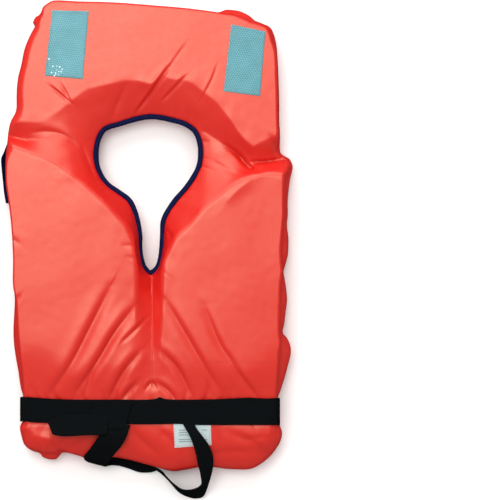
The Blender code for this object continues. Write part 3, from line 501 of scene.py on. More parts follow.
# the back: the same membrane, mirrored, with fewer folds
back_obstacle = np.maximum.reduce([block(np.full(GX.shape, 29.4), [(px, py - 6 if py < 300 else py) for px, py in collar_block], 9.0),
                                   block(29.4 - 4.6 * smoothstep(-274, -256, GY) * (1 - smoothstep(-200, -184, GY)), left_block, 9.0),
                                   block(29.4 - 4.6 * smoothstep(-274, -256, GY) * (1 - smoothstep(-200, -184, GY)), right_block, 9.0)])
fixed, fixed_height = in_neck > -1.0, np.full(GX.shape, 0.0)
hold([(6, -33), (7.5, -80), (8, -140), (7, -330)], [2, 20, 24, 24])
hold([(-206, 158), (-150, 156), (-90, 140)], [14, 18, 18])
hold([(96, 140), (153, 122), (206, 120)], [18, 18, 14])
depth = blur(membrane(back_obstacle, fixed, fixed_height, np.full(GX.shape, 15.0), 300), 1)
depth = np.minimum(depth + 0.25 * band_noise(14, 20, 50) * (1 - foam_zone) - 0.12 * np.abs(band_noise(15, 30, 70)), 29.5)
start_back = edge_xy - outward * 16.0
t = np.linspace(0, 1, BACK_RINGS + 1)
back = neck_xy[None] + (start_back - neck_xy)[None] * (0.5 * t + 0.25 * (1 - np.cos(np.pi * t)))[::-1][:, None, None]
flat = back.reshape(-1, 2)
d_neck, _ = near(neck_tree, flat, 40.0)
d_edge = np.clip(np.linalg.norm(flat - np.tile(start_back, (BACK_RINGS + 1, 1)), axis=1), 0, 60)
zb = 30.0 - sample(depth, flat)
zb = 29.6 + (zb - 29.6) * smoothstep(-0.5, 8, d_neck)
near_edge = 1 - smoothstep(0, 14, d_edge)
zb = zb * (1 - near_edge) + np.maximum(zb * 0.4, 0.9) * near_edge
back_z = zb.reshape(BACK_RINGS + 1, STATIONS)

rows = [np.concatenate([front[r], front_z[r][:, None]], axis=1) for r in range(RINGS + 1)]
rows += ends
rows += [np.concatenate([back[r], back_z[r][:, None]], axis=1) for r in range(BACK_RINGS + 1)]
verts = np.vstack(rows) * MM
count = len(rows)
faces = []
for r in range(count):
    nr = (r + 1) % count
    base, top = r * STATIONS, nr * STATIONS
    for c in range(STATIONS):
        nc = (c + 1) % STATIONS
        faces.append((base + c, top + c, top + nc, base + nc))


# --- materials ------------------------------------------------------------------------------------------------------------------
class Nodes:
    """A short way to write a node tree."""

    def __init__(self, name):
        self.mat = bpy.data.materials.new(name)
        self.mat.use_nodes = True
        self.tree = self.mat.node_tree
        self.shader = self.tree.nodes["Principled BSDF"]

    def node(self, kind, **values):
        node = self.tree.nodes.new(kind)
        for key, value in values.items():
            if key in node.inputs:
                node.inputs[key].default_value = value
            else:
                setattr(node, key, value)
        return node

    def link(self, a, out, b, into):
        self.tree.links.new(a.outputs[out], b.inputs[into])

    def set(self, **values):
        for key, value in values.items():
            self.shader.inputs[key.replace("_", " ")].default_value = value

    def coords(self, rest):
        if rest:
            return self.node("ShaderNodeAttribute", attribute_name="rest"), "Vector"
        return self.node("ShaderNodeTexCoord"), "Object"

    def scaled(self, source, out, scale, rotate=(0, 0, 0)):
        mapping = self.node("ShaderNodeMapping")
        mapping.inputs["Scale"].default_value = scale
        mapping.inputs["Rotation"].default_value = rotate
        self.link(source, out, mapping, "Vector")
        return mapping

    def math(self, operation, a, b=None, clamp=False):
        node = self.node("ShaderNodeMath", operation=operation, use_clamp=clamp)
        for i, value in enumerate((a, b)):
            if value is None:
                continue
            if isinstance(value, tuple):
                self.tree.links.new(value[0].outputs[value[1]], node.inputs[i])
            else:
                node.inputs[i].default_value = value
        return node, 0

    def ramp(self, source, out, stops):
        node = self.node("ShaderNodeValToRGB")
        ramp = node.color_ramp
        while len(ramp.elements) < len(stops):
            ramp.elements.new(0.5)
        for element, (at, colour) in zip(ramp.elements, stops):
            element.position = at
            element.color = (*colour, 1)
        self.link(source, out, node, "Fac")
        return node

    def bump(self, parts):
        """parts: (node, output, strength, distance), laid on each other."""
        last = None
        for source, out, strength, distance in parts:
            node = self.node("ShaderNodeBump")
            node.inputs["Strength"].default_value = strength
            node.inputs["Distance"].default_value = distance
            self.link(source, out, node, "Height")
            if last:
                self.link(last, "Normal", node, "Normal")
            last = node
        self.link(last, "Normal", self.shader, "Normal")


def weave(n, vec, pitch_x, pitch_y):
    """Plain weave: two crossed sets of threads, as a height from 0 to 1."""
    split = n.node("ShaderNodeSeparateXYZ")
    n.link(vec, 0, split, 0)
    sx = n.math("SINE", n.math("MULTIPLY", (split, "X"), 2 * math.pi / pitch_x))
    sy = n.math("SINE", n.math("MULTIPLY", (split, "Y"), 2 * math.pi / pitch_y))
    return n.math("MULTIPLY_ADD", n.math("MULTIPLY", sx, sy), 0.5)


def nylon(name, rest=True):
    n = Nodes(name)
    src, out = n.coords(rest)
    vec = n.scaled(src, out, (1, 1, 1))
    cloud = n.node("ShaderNodeTexNoise", Scale=7.0, Detail=3.0, Roughness=0.55)
    n.link(vec, 0, cloud, "Vector")
    colour = n.ramp(cloud, "Fac", [(0.3, (0.615, 0.006, 0.005)), (0.55, (0.630, 0.008, 0.006)), (0.75, (0.640, 0.010, 0.007))])
    n.link(colour, "Color", n.shader, "Base Color")
    n.set(Roughness=0.48, Specular_IOR_Level=1.0, IOR=1.5)
    n.shader.inputs["Specular Tint"].default_value = (1.0, 0.93, 0.70, 1)
    threads = weave(n, vec, 0.0011, 0.0011)
    fine = n.node("ShaderNodeTexNoise", Scale=260.0, Detail=2.0)
    n.link(vec, 0, fine, "Vector")
    soft_folds = n.node("ShaderNodeTexNoise", Scale=34.0, Detail=3.0, Roughness=0.5)
    n.link(vec, 0, soft_folds, "Vector")
    rough = n.ramp(fine, "Fac", [(0.3, (0.34,) * 3), (0.7, (0.39,) * 3)])
    n.link(rough, "Color", n.shader, "Roughness")
    n.bump([(soft_folds, "Fac", 0.04, 0.0006), (fine, "Fac", 0.08, 0.0003), (threads[0], 0, 0.12, 0.00015)])
    return n.mat


def webbing(name, dark, light, rib=0.0016, rest=True, roughness=0.8):
    n = Nodes(name)
    src, out = n.coords(rest)
    vec = n.scaled(src, out, (1, 1, 1))
    threads = weave(n, vec, rib * 1.6, rib)
    fuzz = n.node("ShaderNodeTexNoise", Scale=420.0, Detail=2.0)
    n.link(vec, 0, fuzz, "Vector")
    both = n.math("MULTIPLY_ADD", threads, 0.6)
    n.tree.links.new(fuzz.outputs["Fac"], both[0].inputs[2])
    colour = n.ramp(both[0], 0, [(0.25, dark), (1.0, light)])
    n.link(colour, "Color", n.shader, "Base Color")
    n.set(Roughness=roughness, Specular_IOR_Level=0.06)
    n.bump([(threads[0], 0, 0.5, 0.0004), (fuzz, "Fac", 0.2, 0.0003)])
    return n.mat


def reflective(name):
    """Prism tape: a lattice of sealed cells, each with its own tilt, and a painted glint: white-ish dots at one spot
    stand in for a reflection of the light.
    """
    n = Nodes(name)
    src, out = n.coords(True)
    turned = n.scaled(src, out, (1, 1, 1), (0, 0, math.radians(6)))
    split = n.node("ShaderNodeSeparateXYZ")
    n.link(turned, 0, split, 0)
    pitch = 0.0030
    waves = []
    for turn in (30, 90, 150):
        c, s = math.cos(math.radians(turn)), math.sin(math.radians(turn))
        along_it = n.math("ADD", n.math("MULTIPLY", (split, "X"), c), n.math("MULTIPLY", (split, "Y"), s))
        waves.append(n.math("COSINE", n.math("MULTIPLY", along_it, 2 * math.pi / pitch)))
    total = n.math("ADD", n.math("ADD", waves[0], waves[1]), waves[2])
    lattice = n.math("MULTIPLY_ADD", total, 0.2)
    lattice[0].inputs[2].default_value = 0.35
    cells = n.node("ShaderNodeTexVoronoi", Scale=300.0)
    n.link(turned, 0, cells, "Vector")
    grain = n.node("ShaderNodeTexNoise", Scale=38.0, Detail=4.0)
    n.link(turned, 0, grain, "Vector")
    colour = n.ramp(lattice[0], 0, [(0.0, (0.115, 0.34, 0.385)), (0.2, (0.07, 0.245, 0.285)), (0.5, (0.034, 0.16, 0.195)),
                                   (0.95, (0.055, 0.20, 0.24))])
    mix = n.node("ShaderNodeMix", data_type="RGBA", blend_type="OVERLAY")
    mix.inputs["Factor"].default_value = 0.35
    n.tree.links.new(colour.outputs["Color"], mix.inputs["A"])
    n.tree.links.new(grain.outputs["Color"], mix.inputs["B"])
    shade = n.ramp(grain, "Fac", [(0.3, (0.55,) * 3), (0.7, (0.75,) * 3)])
    dull = n.node("ShaderNodeMix", data_type="RGBA", blend_type="OVERLAY")
    dull.inputs["Factor"].default_value = 0.5
    n.tree.links.new(colour.outputs["Color"], dull.inputs["A"])
    n.tree.links.new(shade.outputs["Color"], dull.inputs["B"])
    # painted glint: white-ish dots inside a noise patch centred at rest x -0.125 m, y 0.254 m, the left tape's lower
    # left, are painted on as a reflection of the light
    glint_patch_noise = n.node("ShaderNodeTexNoise", Scale=17.0, Detail=2.0)
    n.link(turned, 0, glint_patch_noise, "Vector")
    dots = n.node("ShaderNodeTexVoronoi", Scale=260.0)
    n.link(turned, 0, dots, "Vector")
    near_dot = n.math("LESS_THAN", (dots, "Distance"), 0.26)
    here = n.node("ShaderNodeSeparateXYZ")
    n.link(src, out, here, 0)
    dx = n.math("MULTIPLY", n.math("SUBTRACT", (here, "X"), -0.125), 46.0)
    dy = n.math("MULTIPLY", n.math("SUBTRACT", (here, "Y"), 0.254), 46.0)
    from_glint_centre = n.math("POWER", n.math("ADD", n.math("MULTIPLY", dx, dx), n.math("MULTIPLY", dy, dy)), 0.5)
    in_painted_glint_patch = n.math("GREATER_THAN", n.math("SUBTRACT", (glint_patch_noise, "Fac"), n.math("MULTIPLY", from_glint_centre, 0.45)), 0.17)
    painted_glint = n.math("MULTIPLY", near_dot, in_painted_glint_patch)
    # mixes the painted glint colour into the tape's own colour
    painted_glint_mix = n.node("ShaderNodeMix", data_type="RGBA")
    n.tree.links.new(painted_glint[0].outputs[0], painted_glint_mix.inputs["Factor"])
    n.tree.links.new(dull.outputs["Result"], painted_glint_mix.inputs["A"])
    painted_glint_mix.inputs["B"].default_value = (0.72, 0.86, 0.86, 1)
    n.tree.links.new(painted_glint_mix.outputs["Result"], n.shader.inputs["Base Color"])
    n.set(Metallic=0.15, Roughness=0.40, Specular_IOR_Level=0.5, Coat_Weight=0.15, Coat_Roughness=0.25)
    n.bump([(lattice[0], 0, 0.5, 0.0005), (cells, "Distance", 0.25, 0.0004)])
    return n.mat


def plain(name, colour, roughness, noise=0.06, scale=120.0, metallic=0.0, specular=0.4):
    """Moulded plastic or print: one colour with slight unevenness."""
    n = Nodes(name)
    src, out = n.coords(False)
    grain = n.node("ShaderNodeTexNoise", Scale=scale, Detail=3.0)
    n.link(src, out, grain, "Vector")
    low = tuple(c * (1 - noise) for c in colour)
    high = tuple(min(1.0, c * (1 + noise)) for c in colour)
    n.link(n.ramp(grain, "Fac", [(0.3, low), (0.7, high)]), "Color", n.shader, "Base Color")
    n.set(Roughness=roughness, Metallic=metallic, Specular_IOR_Level=specular)
    n.bump([(grain, "Fac", 0.15, 0.0002)])
    return n.mat


ORANGE = nylon("orange_nylon")
NAVY = webbing("navy_binding", (0.0015, 0.003, 0.022), (0.004, 0.008, 0.050), rib=0.0011)
BLACK = webbing("black_webbing", (0.0008, 0.0012, 0.0018), (0.0032, 0.0045, 0.0055), roughness=0.9)
SILVER = reflective("reflective_tape")
LABEL = webbing("white_label", (0.40, 0.50, 0.50), (0.50, 0.61, 0.61), rib=0.0007)
PRINT = plain("label_print", (0.22, 0.26, 0.27), 0.7)
THREAD = plain("orange_thread", (0.90, 0.10, 0.045), 0.55)
THREAD_DARK = plain("navy_thread", (0.010, 0.016, 0.06), 0.6)
THREAD_BLACK = plain("black_thread", (0.010, 0.010, 0.012), 0.6)
WHISTLE = plain("orange_plastic", (0.86, 0.15, 0.03), 0.32, noise=0.03, scale=60.0, specular=0.5)
FOAM = plain("white_foam", (0.80, 0.80, 0.76), 0.85, noise=0.05, scale=300.0)

# --- the cover ------------------------------------------------------------------------------------------------------------------------
cover = make("jacket_cover", verts, faces, ORANGE)
bm = bmesh.new()
bm.from_mesh(cover.data)
bmesh.ops.recalc_face_normals(bm, faces=bm.faces)
if bm.calc_volume(signed=True) < 0:
    bmesh.ops.reverse_faces(bm, faces=bm.faces)
bm.to_mesh(cover.data)
bm.free()
cover.data.shade_smooth()
remember_rest(cover)
bpy.context.view_layer.update()
cover_tree = BVHTree.FromObject(cover, bpy.context.evaluated_depsgraph_get())
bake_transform(cover)
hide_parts("chest_front_cover", "chest_back_cover", "collar_front_cover", "collar_back_cover",
            *[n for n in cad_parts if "foam" in n])


def top_at(px, py, default=30.0):
    hit = cover_tree.ray_cast(Vector((px * MM, py * MM, 0.3)), Vector((0, 0, -1)))[0]
    return hit.z / MM if hit else default


# --- neck binding ---------------------------------------------------------------------------------------------------------------------------
loop = resample(neck_dense, 420, closed=True)
tan = np.roll(loop, -1, axis=0) - np.roll(loop, 1, axis=0)
tan /= np.linalg.norm(tan, axis=1)[:, None]
side = np.stack([-tan[:, 1], tan[:, 0]], axis=1)
ring = [(-2.7, 0.0), (-2.3, 2.0), (-1.0, 3.3), (1.2, 3.9), (3.2, 4.1), (4.7, 3.6), (5.0, 2.4), (4.6, 0.6), (5.0, -1.6),
        (4.7, -3.0), (3.2, -3.6), (1.0, -3.5), (-1.0, -3.1), (-2.3, -1.9)]
verts = []
wobble = circular_smooth(np.random.default_rng(4).normal(size=420), 5)
wobble /= wobble.std()
for i in range(420):
    for a, b in ring:
        a *= 0.94 + 0.02 * wobble[i]
        p = loop[i] + side[i] * a
        verts.append((p[0] * MM, p[1] * MM, (30.6 + b + 0.15 * wobble[i]) * MM))
k = len(ring)
faces = [(i * k + j, i * k + (j + 1) % k, ((i + 1) % 420) * k + (j + 1) % k, ((i + 1) % 420) * k + j)
         for i in range(420) for j in range(k)]
binding = make("neck_binding", verts, faces, NAVY)
bm = bmesh.new()
bm.from_mesh(binding.data)
bmesh.ops.recalc_face_normals(bm, faces=bm.faces)
bm.to_mesh(binding.data)
bm.free()
remember_rest(binding)
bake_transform(binding)
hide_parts("neck_binding_lower", "neck_binding_upper")


# --- straps ----------------------------------------------------------------------------------------------------------------------------------
def strip(name, rows, thickness, mat, bevel=0.35, subdivide=0):
    """A strap from rows of points across its width; it gets its thickness and soft edges here."""
    n, m = len(rows), len(rows[0])
    verts = [tuple(c * MM for c in p) for row in rows for p in row]
    faces = [(i * m + j, i * m + j + 1, (i + 1) * m + j + 1, (i + 1) * m + j) for i in range(n - 1) for j in range(m - 1)]
    obj = make(name, verts, faces, mat)
    thick = obj.modifiers.new("thickness", "SOLIDIFY")
    thick.thickness = thickness * MM
    thick.offset = 0.0
    thick.use_even_offset = False
    if bevel:
        b = obj.modifiers.new("edge", "BEVEL")
        b.width = bevel * MM
        b.segments = 2
        b.limit_method = "ANGLE"
        b.angle_limit = math.radians(50)
    applied(obj)
    obj.data.shade_smooth()
    obj.data.set_sharp_from_angle(angle=math.radians(60))
    return remember_rest(obj)


BELT_TOP = spline([(-176, -206.5), (-133, -209.5), (-102, -210.5), (-38, -210.5), (4, -210.5), (15, -209), (19, -206.8), (26, -209.5),
                   (75, -210.5), (132, -208.5), (143, -208), (175, -209), (187, -206.5)], steps=8)
BELT_LOW = spline([(-180, -239), (-162, -242.5), (-139, -243.5), (-67, -244.5), (4, -245.5), (47, -245), (75, -246.5), (104, -246.5),
                   (160, -246.5), (190, -247)], steps=8)


def edge_x(y, left):
    pts = edge_xy[(edge_xy[:, 0] < 0) == left]
    close = pts[np.abs(pts[:, 1] - y) < 4]
    return close[:, 0].min() if left else close[:, 0].max()


belt_rows = []
ACROSS = 9
for j in range(ACROSS):
    f = j / (ACROSS - 1)
    xs = np.linspace(-177, 187, 150)
    ys = np.interp(xs, BELT_TOP[:, 0], BELT_TOP[:, 1]) * (1 - f) + np.interp(xs, BELT_LOW[:, 0], BELT_LOW[:, 1]) * f
    zs = np.array([top_at(a, b) for a, b in zip(xs, ys)]) + 1.3
    tall = np.array([zs[max(0, i - 5): i + 6].max() for i in range(len(zs))])
    tall = np.convolve(np.pad(tall, 5, mode="edge"), np.ones(11) / 11, mode="valid")
    middle = smoothstep(-176, -150, xs) * (1 - smoothstep(160, 186, xs))
    zs = np.maximum(zs, tall * middle + zs * (1 - middle))
    xl, xr = edge_x(-228, True) - 2.2, edge_x(-228, False) + 2.2
    keep = (xs > xl + 10) & (xs < xr - 10)
    path = [(xx, yy, zz) for xx, yy, zz in zip(xs[keep], ys[keep], zs[keep])]
    zr, zl = path[-1][2], path[0][2]
    yr, yl = path[-1][1], path[0][1]
    for a in np.linspace(0.12, 1, 10):
        ang = a * math.pi / 2
        path.append((xr - 10 + 10 * math.sin(ang), yr - 1.8 * (1 - math.cos(ang)), 30 + (zr - 30) * math.cos(ang)))
    for a in np.linspace(0.12, 1, 10):
        ang = a * math.pi / 2
        path.append((xr - 16 + 16 * math.cos(ang), yr - 1.8, 30 - 27.2 * math.sin(ang)))
    for xx in np.linspace(xr - 20, xl + 20, 46):
        path.append((xx, -208 - f * 37, 2.8))
    for a in np.linspace(0, 0.9, 10):
        ang = a * math.pi / 2
        path.append((xl + 16 - 16 * math.sin(ang), yl - 1.8, 30 - 27.2 * math.cos(ang)))
    for a in np.linspace(0, 0.9, 10):
        ang = a * math.pi / 2
        path.append((xl + 10 - 10 * math.cos(ang), yl - 1.8 * (1 - math.sin(ang)), 30 + (zl - 30) * math.sin(ang)))
    closed = np.array(path + path[:1])
    step = np.concatenate([[0], np.cumsum(np.linalg.norm(np.diff(closed, axis=0), axis=1))])
    at = np.linspace(0, step[-1], 361)[:-1]
    belt_rows.append(np.stack([np.interp(at, step, closed[:, q]) for q in range(3)], axis=1))
n = 360
verts, faces = [], []
for j in range(ACROSS):
    for p in belt_rows[j]:
        verts.append(tuple(p * MM))
for j in range(ACROSS - 1):
    for i in range(n):
        faces.append((j * n + i, (j + 1) * n + i, (j + 1) * n + (i + 1) % n, j * n + (i + 1) % n))
belt = make("waist_belt_webbing", verts, faces, BLACK)
bm = bmesh.new()
bm.from_mesh(belt.data)
bmesh.ops.recalc_face_normals(bm, faces=bm.faces)
bm.to_mesh(belt.data)
bm.free()
thick = belt.modifiers.new("thickness", "SOLIDIFY")
thick.thickness, thick.offset, thick.use_even_offset = 1.5 * MM, 0.0, False
b = belt.modifiers.new("edge", "BEVEL")
b.width, b.segments, b.limit_method, b.angle_limit = 0.35 * MM, 2, "ANGLE", math.radians(50)
applied(belt)
belt.data.shade_smooth()
belt.data.set_sharp_from_angle(angle=math.radians(60))
remember_rest(belt)
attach(belt, "chest")
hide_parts("waist_belt")
bpy.context.view_layer.update()
belt_tree = BVHTree.FromObject(belt, bpy.context.evaluated_depsgraph_get())


def over(px, py, default=4.0):
    """Height of the highest thing below a point: the belt or the cover."""
    best = default
    for kd in (cover_tree, belt_tree):
        hit = kd.ray_cast(Vector((px * MM, py * MM, 0.3)), Vector((0, 0, -1)))[0]
        if hit:
            best = max(best, hit.z / MM)
    return best


def strap_between(name, left, right, thickness, mat, count=80, across=7, crown=0.0, z_of=None,
                  lying=((0.0, 1.0),)):
    """A strap whose two long edges are given as (x, y, z) lines; crown lifts its middle."""
    a, b = spline(left, steps=12), spline(right, steps=12)
    step = lambda line: np.concatenate([[0], np.cumsum(np.linalg.norm(np.diff(line, axis=0), axis=1))])
    sa, sb = step(a), step(b)
    rows = []
    for i in range(count):
        f = i / (count - 1)
        pa = np.array([np.interp(f * sa[-1], sa, a[:, q]) for q in range(3)])
        pb = np.array([np.interp(f * sb[-1], sb, b[:, q]) for q in range(3)])
        row = []
        for j in range(across):
            g = j / (across - 1)
            p = pa * (1 - g) + pb * g
            p[2] += crown * math.sin(math.pi * g)
            if z_of and any(lo <= f <= hi for lo, hi in lying):
                p[2] = max(p[2], z_of(p[0], p[1]) + thickness * 0.5 + 0.4)
            row.append(tuple(p))
        rows.append(row)
    return strip(name, rows, thickness, mat)


# the turn of the half-knot over the belt
knot = strap_between("belt_knot_webbing",
                     [(-70, -213.2, 58.6), (-73, -219, 60.4), (-77, -230, 61.0), (-76, -243, 61.6), (-68, -251, 64)],
                     [(-18, -213.4, 58.6), (-20, -219, 60.2), (-24, -230, 60.8), (-27, -243, 61.5), (-29, -251, 63)], 1.5, BLACK, 40, 9, 0.6, over)
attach(knot, "chest")
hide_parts("belt_knot")

short_end = strap_between("belt_end_webbing",
                          [(-54, -229.5, 60.2), (-66, -230, 60.4), (-79.0, -231, 60.6), (-100, -232, 60.9), (-120, -233, 61.2),
                           (-139, -241, 61.0)],
                          [(-54, -258, 66.5), (-66, -260, 68.4), (-79.0, -260, 69), (-98, -261, 69.2), (-118, -261.5, 69.4),
                           (-131, -259, 69)], 1.5, BLACK, 64, 8, 0.4, over)
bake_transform(short_end)
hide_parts("belt_end")

# the long end: down over the hem, under it, out in a loop and back up below the belt; each row is a pair of edge points
TAIL_LEFT = [(-61, -243, 62), (-66, -260, 63), (-74, -273, 59), (-82, -284, 52), (-89, -293, 42), (-87, -298.5, 31),
             (-79, -303, 20), (-66, -303, 8), (-44, -294, 3.2), (-20, -297, 3.4), (0, -307, 6), (17, -313, 16),
             (26, -321, 24), (36, -331, 28), (47, -339, 30), (57, -341, 30), (68, -339, 31), (77, -333, 34), (76, -318, 40),
             (72, -300, 50), (69, -283, 58), (62, -263, 62), (54, -249, 60), (50.5, -243, 57.5), (48, -238, 57)]
TAIL_RIGHT = [(-22, -246, 62), (-27, -262, 62), (-35, -276, 56), (-44, -287, 48), (-51, -296, 40), (-55, -303, 30),
              (-60, -308, 19), (-50, -307, 7), (-30, -312, 3.4), (-12, -318, 3.0), (4, -318, 4), (18, -315, 6),
              (28, -325, 5), (37, -338, 3.5), (47, -348, 3), (58, -353, 3), (68, -355, 4), (79, -352, 8), (88, -330, 26),
              (94, -306, 42), (94, -290, 53), (88, -274, 60), (78, -260, 62), (70, -249, 60), (68, -243, 57.5), (66, -238, 57)]
tail = strap_between("belt_tail_webbing", TAIL_LEFT, TAIL_RIGHT, 1.5, BLACK, 260, 9, 0.0,
                     lambda px, py: top_at(px, py, -10.0), ((0.0, 0.17), (0.76, 1.0)))
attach(tail, "chest")
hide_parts("belt_tail")


# --- patches: reflective tape and label ---------------------------------------------------------------------------------------------------------------
def patch(name, corners, mat, lift, thickness, nx, ny, tree_fn):
    """corners: top left, top right, bottom right, bottom left."""
    tl, tr, br, bl = (np.array(c, float) for c in corners)
    rows = []
    for j in range(ny):
        g = j / (ny - 1)
        row = []
        for i in range(nx):
            f = i / (nx - 1)
            p = (tl * (1 - f) + tr * f) * (1 - g) + (bl * (1 - f) + br * f) * g
            row.append([p[0], p[1], tree_fn(p[0], p[1])])
        rows.append(row)
    zs = np.array([[p[2] for p in row] for row in rows])
    for _ in range(3):
        q = np.pad(zs, 1, mode="edge")
        zs = np.maximum(zs, (q[:-2, 1:-1] + q[2:, 1:-1] + q[1:-1, :-2] + q[1:-1, 2:]) / 4)
    for row, zr in zip(rows, zs):
        for p, zz in zip(row, zr):
            p[2] = zz + lift
    return strip(name, rows, thickness, mat, bevel=0.12)


tape_left = patch("tape_left", [(-132.5, 338), (-81, 336.5), (-89.5, 241), (-143, 246)], SILVER, 0.45, 0.4, 26, 48, top_at)
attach(tape_left, "collar")
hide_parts("reflective_tape_left")
tape_right = patch("tape_right", [(120, 318), (168, 308), (160.5, 217), (109, 224)], SILVER, 0.45, 0.4, 26, 48, top_at)
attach(tape_right, "collar")
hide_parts("reflective_tape_right")
label = patch("care_label_cloth", [(38.5, -244), (91, -244), (92, -275), (40, -279)], LABEL, 0.5, 0.35, 28, 20, top_at)
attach(label, "chest")
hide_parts("care_label")



# --- stitching ----------------------------------------------------------------------------------------------------------------------------------------
def stitches(name, line, height_at, mat, length=3.0, gap=1.7, radius=0.33, lift=0.15, closed=False):
    """A row of thread stitches along a line in plan; each is a small eight-sided capsule."""
    pts = np.array(line, float)
    run, ring = run_of(pts, closed)
    verts, faces = [], []
    at = gap
    while at + length < run[-1]:
        ends_ = [np.array([np.interp(at + o, run, ring[:, q]) for q in (0, 1)]) for o in (0, length)]
        d = (ends_[1] - ends_[0]) / max(np.linalg.norm(ends_[1] - ends_[0]), 1e-6)
        n_ = np.array([-d[1], d[0]])
        za, zb_ = (height_at(*e) for e in ends_)
        base = len(verts)
        for f, r in ((0.0, 0.25), (0.12, 0.85), (0.5, 1.0), (0.88, 0.85), (1.0, 0.25)):
            c = ends_[0] + d * length * f
            zc = za + (zb_ - za) * f + lift * math.sin(math.pi * f)
            for k in range(8):
                ang = k * math.pi / 4
                q = c + n_ * radius * r * math.cos(ang)
                verts.append((q[0] * MM, q[1] * MM, (zc + radius * r * math.sin(ang)) * MM))
        for ring_i in range(4):
            for k in range(8):
                k2 = (k + 1) % 8
                faces.append((base + ring_i * 8 + k, base + ring_i * 8 + k2, base + ring_i * 8 + 8 + k2, base + ring_i * 8 + 8 + k))
        faces.append(tuple(base + k for k in range(7, -1, -1)))
        faces.append(tuple(base + 32 + k for k in range(8)))
        at += length + gap
    obj = make(name, verts, faces, mat)
    mesh_ = bmesh.new()
    mesh_.from_mesh(obj.data)
    bmesh.ops.recalc_face_normals(mesh_, faces=mesh_.faces)
    mesh_.to_mesh(obj.data)
    mesh_.free()
    obj.data.shade_smooth()
    return obj


def frame_line(corners, inset):
    """The outline of a patch, moved in from its edges."""
    c = np.array(corners, float)
    middle = c.mean(axis=0)
    pts = []
    for k in range(4):
        p, q = c[k], c[(k + 1) % 4]
        for f in np.linspace(0, 1, 30, endpoint=False):
            r = p * (1 - f) + q * f
            to = middle - r
            pts.append(r + to / np.linalg.norm(to) * inset)
    c2 = [v + (middle - v) / np.linalg.norm(middle - v) * inset * 1.414 for v in c]
    pts = []
    for k in range(4):
        p, q = c2[k], c2[(k + 1) % 4]
        pts += [p * (1 - f) + q * f for f in np.linspace(0, 1, 30, endpoint=False)]
    return np.array(pts)


TAPE_L = [(-132.5, 338), (-81, 336.5), (-89.5, 241), (-143, 246)]
TAPE_R = [(120, 318), (168, 308), (160.5, 217), (109, 224)]
THREAD_GREY = plain("grey_thread", (0.16, 0.36, 0.38), 0.6)
for name, corners in (("tape_left_stitching", TAPE_L), ("tape_right_stitching", TAPE_R)):
    row = stitches(name, frame_line(corners, 2.2), lambda a, b: top_at(a, b) + 1.0, THREAD_GREY, closed=True)
    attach(row, "collar")
row = stitches("label_stitching", [(39.8, -249), (40.6, -276.6), (65, -275.6), (90, -273.6), (89.6, -249)],
               lambda a, b: top_at(a, b) + 1.0, THREAD, 2.4, 1.4, 0.28)
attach(row, "chest")


def on_cloth(a, b):
    return top_at(a, b) + 0.15


SEAM_RED = plain("seam_thread", (0.62, 0.035, 0.026), 0.6)
SEAMS = {
    "centre_seam_stitching": [(7.8, -37), (8.1, -80), (8.3, -140), (7.2, -190)],
    "side_panel_stitching_upper": [(72, -156), (120, -156.5), (150, -157), (181, -157)],
    "side_panel_stitching_lower": [(42, -189), (90, -190), (140, -190.5), (181, -190)],
    "side_panel_stitching_end": [(179, -157), (179.5, -175), (179, -203)],
}
for name, line in SEAMS.items():
    row = stitches(name, resample(spline(line, steps=10), 160), on_cloth, SEAM_RED, 2.6, 1.3, 0.30)
    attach(row, "chest")

fold_line = resample(spline([(7.6, -36), (8.6, -80), (9.0, -140), (7.6, -192)], steps=10), 90)
verts, faces = [], []
for i, (a, b) in enumerate(fold_line):
    c = (top_at(a - 1.2, b) + top_at(a + 1.2, b)) / 2
    for k in range(8):
        ang = k * math.pi / 4
        verts.append(((a + 0.75 * math.cos(ang)) * MM, b * MM, (c + 0.1 + 0.55 * math.sin(ang)) * MM))
for i in range(len(fold_line) - 1):
    for k in range(8):
        faces.append((i * 8 + k, i * 8 + (k + 1) % 8, i * 8 + 8 + (k + 1) % 8, i * 8 + 8 + k))
faces += [tuple(range(7, -1, -1)), tuple(range(len(verts) - 8, len(verts)))]
seam_fold = make("centre_seam_fold", verts, faces, None)
seam_fold.data.materials.append(SEAM_RED)
mesh_ = bmesh.new()
mesh_.from_mesh(seam_fold.data)
bmesh.ops.recalc_face_normals(mesh_, faces=mesh_.faces)
mesh_.to_mesh(seam_fold.data)
mesh_.free()
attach(seam_fold, "chest")

# stitching through the binding
bind_line = loop + side * 1.1
row = stitches("binding_stitching", resample(bind_line, 900, closed=True), lambda a, b: 34.45, THREAD_DARK, 2.6, 1.3, 0.28, 0.1, closed=True)
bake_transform(row)

# generic bars on the label
bars = []
for k, (y0, x0, x1) in enumerate([(-253, 46, 60), (-256.5, 46, 58), (-260, 46, 61), (-266.5, 46, 86), (-269.5, 46, 80), (-253, 78, 86)]):
    n_seg = 8
    vs, fs = [], []
    for i in range(n_seg + 1):
        xx = x0 + (x1 - x0) * i / n_seg
        for yy in (y0, y0 - 1.1):
            vs.append((xx * MM, yy * MM, (top_at(xx, yy) + 0.98) * MM))
    for i in range(n_seg):
        fs.append((2 * i, 2 * i + 1, 2 * i + 3, 2 * i + 2))
    bar = make(f"label_bar_{k + 1}", vs, fs, PRINT, smooth=False)
    thick = bar.modifiers.new("ink", "SOLIDIFY")
    thick.thickness, thick.offset = 0.05 * MM, 0.0
    applied(bar)
    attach(bar, "chest")

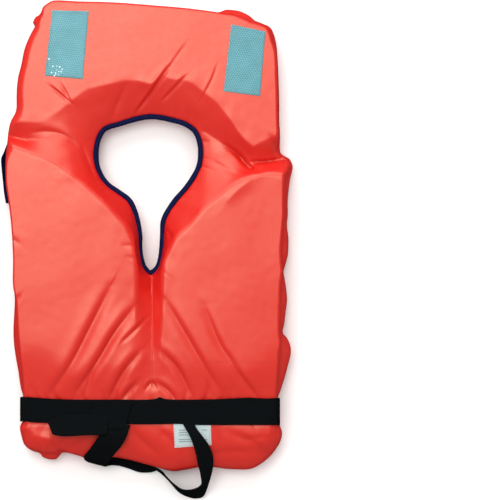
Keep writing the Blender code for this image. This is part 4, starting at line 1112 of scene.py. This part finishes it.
# --- whistle and its ribbon ---------------------------------------------------------------------------------------------------------------------------
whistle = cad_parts["whistle"]
whistle.data.materials.clear()
whistle.data.materials.append(WHISTLE)
ribbon = strap_between("whistle_ribbon_webbing",
                       [(-198.5, 150, 31), (-202.5, 139, 32), (-206.8, 130, 30), (-206.6, 114, 25.5), (-205.4, 97, 21), (-204.6, 83, 16),
                        (-203.2, 72, 11.5), (-202.6, 67.2, 7.5), (-202.6, 69.5, 5)],
                       [(-198.6, 148, 21.5), (-201.0, 138, 20), (-200.5, 129, 18.5), (-199.6, 113, 16.2), (-198.6, 96, 14.4),
                        (-197.4, 80, 13.0), (-196.4, 71.4, 10.5), (-195.8, 67.0, 7.5), (-195.6, 69.5, 4.8)], 1.1, NAVY, 60, 7)
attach(ribbon, "whistle")
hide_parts("whistle_ribbon")

# --- keepers on the back keep their CAD shape -------------------------------------------------------------------------------------------------------------
for name in ("belt_keeper_left", "belt_keeper_right"):
    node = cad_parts[name]
    node.data.materials.clear()
    node.data.materials.append(BLACK)

# --- floor and light -----------------------------------------------------------------------------------------------------------------------------------------
floor = make("floor", [(-6, -6, -0.0002), (6, -6, -0.0002), (6, 6, -0.0002), (-6, 6, -0.0002)], [(0, 1, 2, 3)], None, smooth=False)
n = Nodes("pale_floor")
n.set(Base_Color=(0.97, 0.97, 0.97, 1), Roughness=0.9, Specular_IOR_Level=0.1)
floor.data.materials.append(n.mat)
floor.visible_glossy = False
floor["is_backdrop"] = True

world = bpy.data.worlds.new("studio")
world.use_nodes = True
world.node_tree.nodes["Background"].inputs["Color"].default_value = (1.0, 0.99, 0.98, 1)
world.node_tree.nodes["Background"].inputs["Strength"].default_value = 0.8
bpy.context.scene.world = world
world.cycles_visibility.glossy = False


def area_light(name, at, aim, size, power, colour=(1, 1, 1)):
    data = bpy.data.lights.new(name, "AREA")
    data.shape = "RECTANGLE"
    data.size, data.size_y = size
    data.energy = power
    data.color = colour
    obj = bpy.data.objects.new(name, data)
    obj.location = at
    obj.rotation_euler = (Vector(aim) - Vector(at)).to_track_quat("-Z", "Y").to_euler()
    bpy.context.scene.collection.objects.link(obj)
    return obj


area_light("overhead_softbox", (-0.35, 0.62, 2.5), (0.0, 0.05, 0.0), (1.6, 1.1), 29.5, (1.0, 0.99, 0.965))
area_light("high_side_softbox", (-0.35, 2.1, 1.75), (0.0, 0.0, 0.0), (3.2, 1.2), 32.5, (1.0, 0.99, 0.97))
area_light("low_side_softbox", (-0.3, 2.3, 0.72), (0.0, 0.0, 0.05), (3.2, 0.8), 20.0, (1.0, 0.98, 0.95))

size = {"cad": cad_box, "visual": [[float(c) for c in corner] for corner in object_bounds()]}
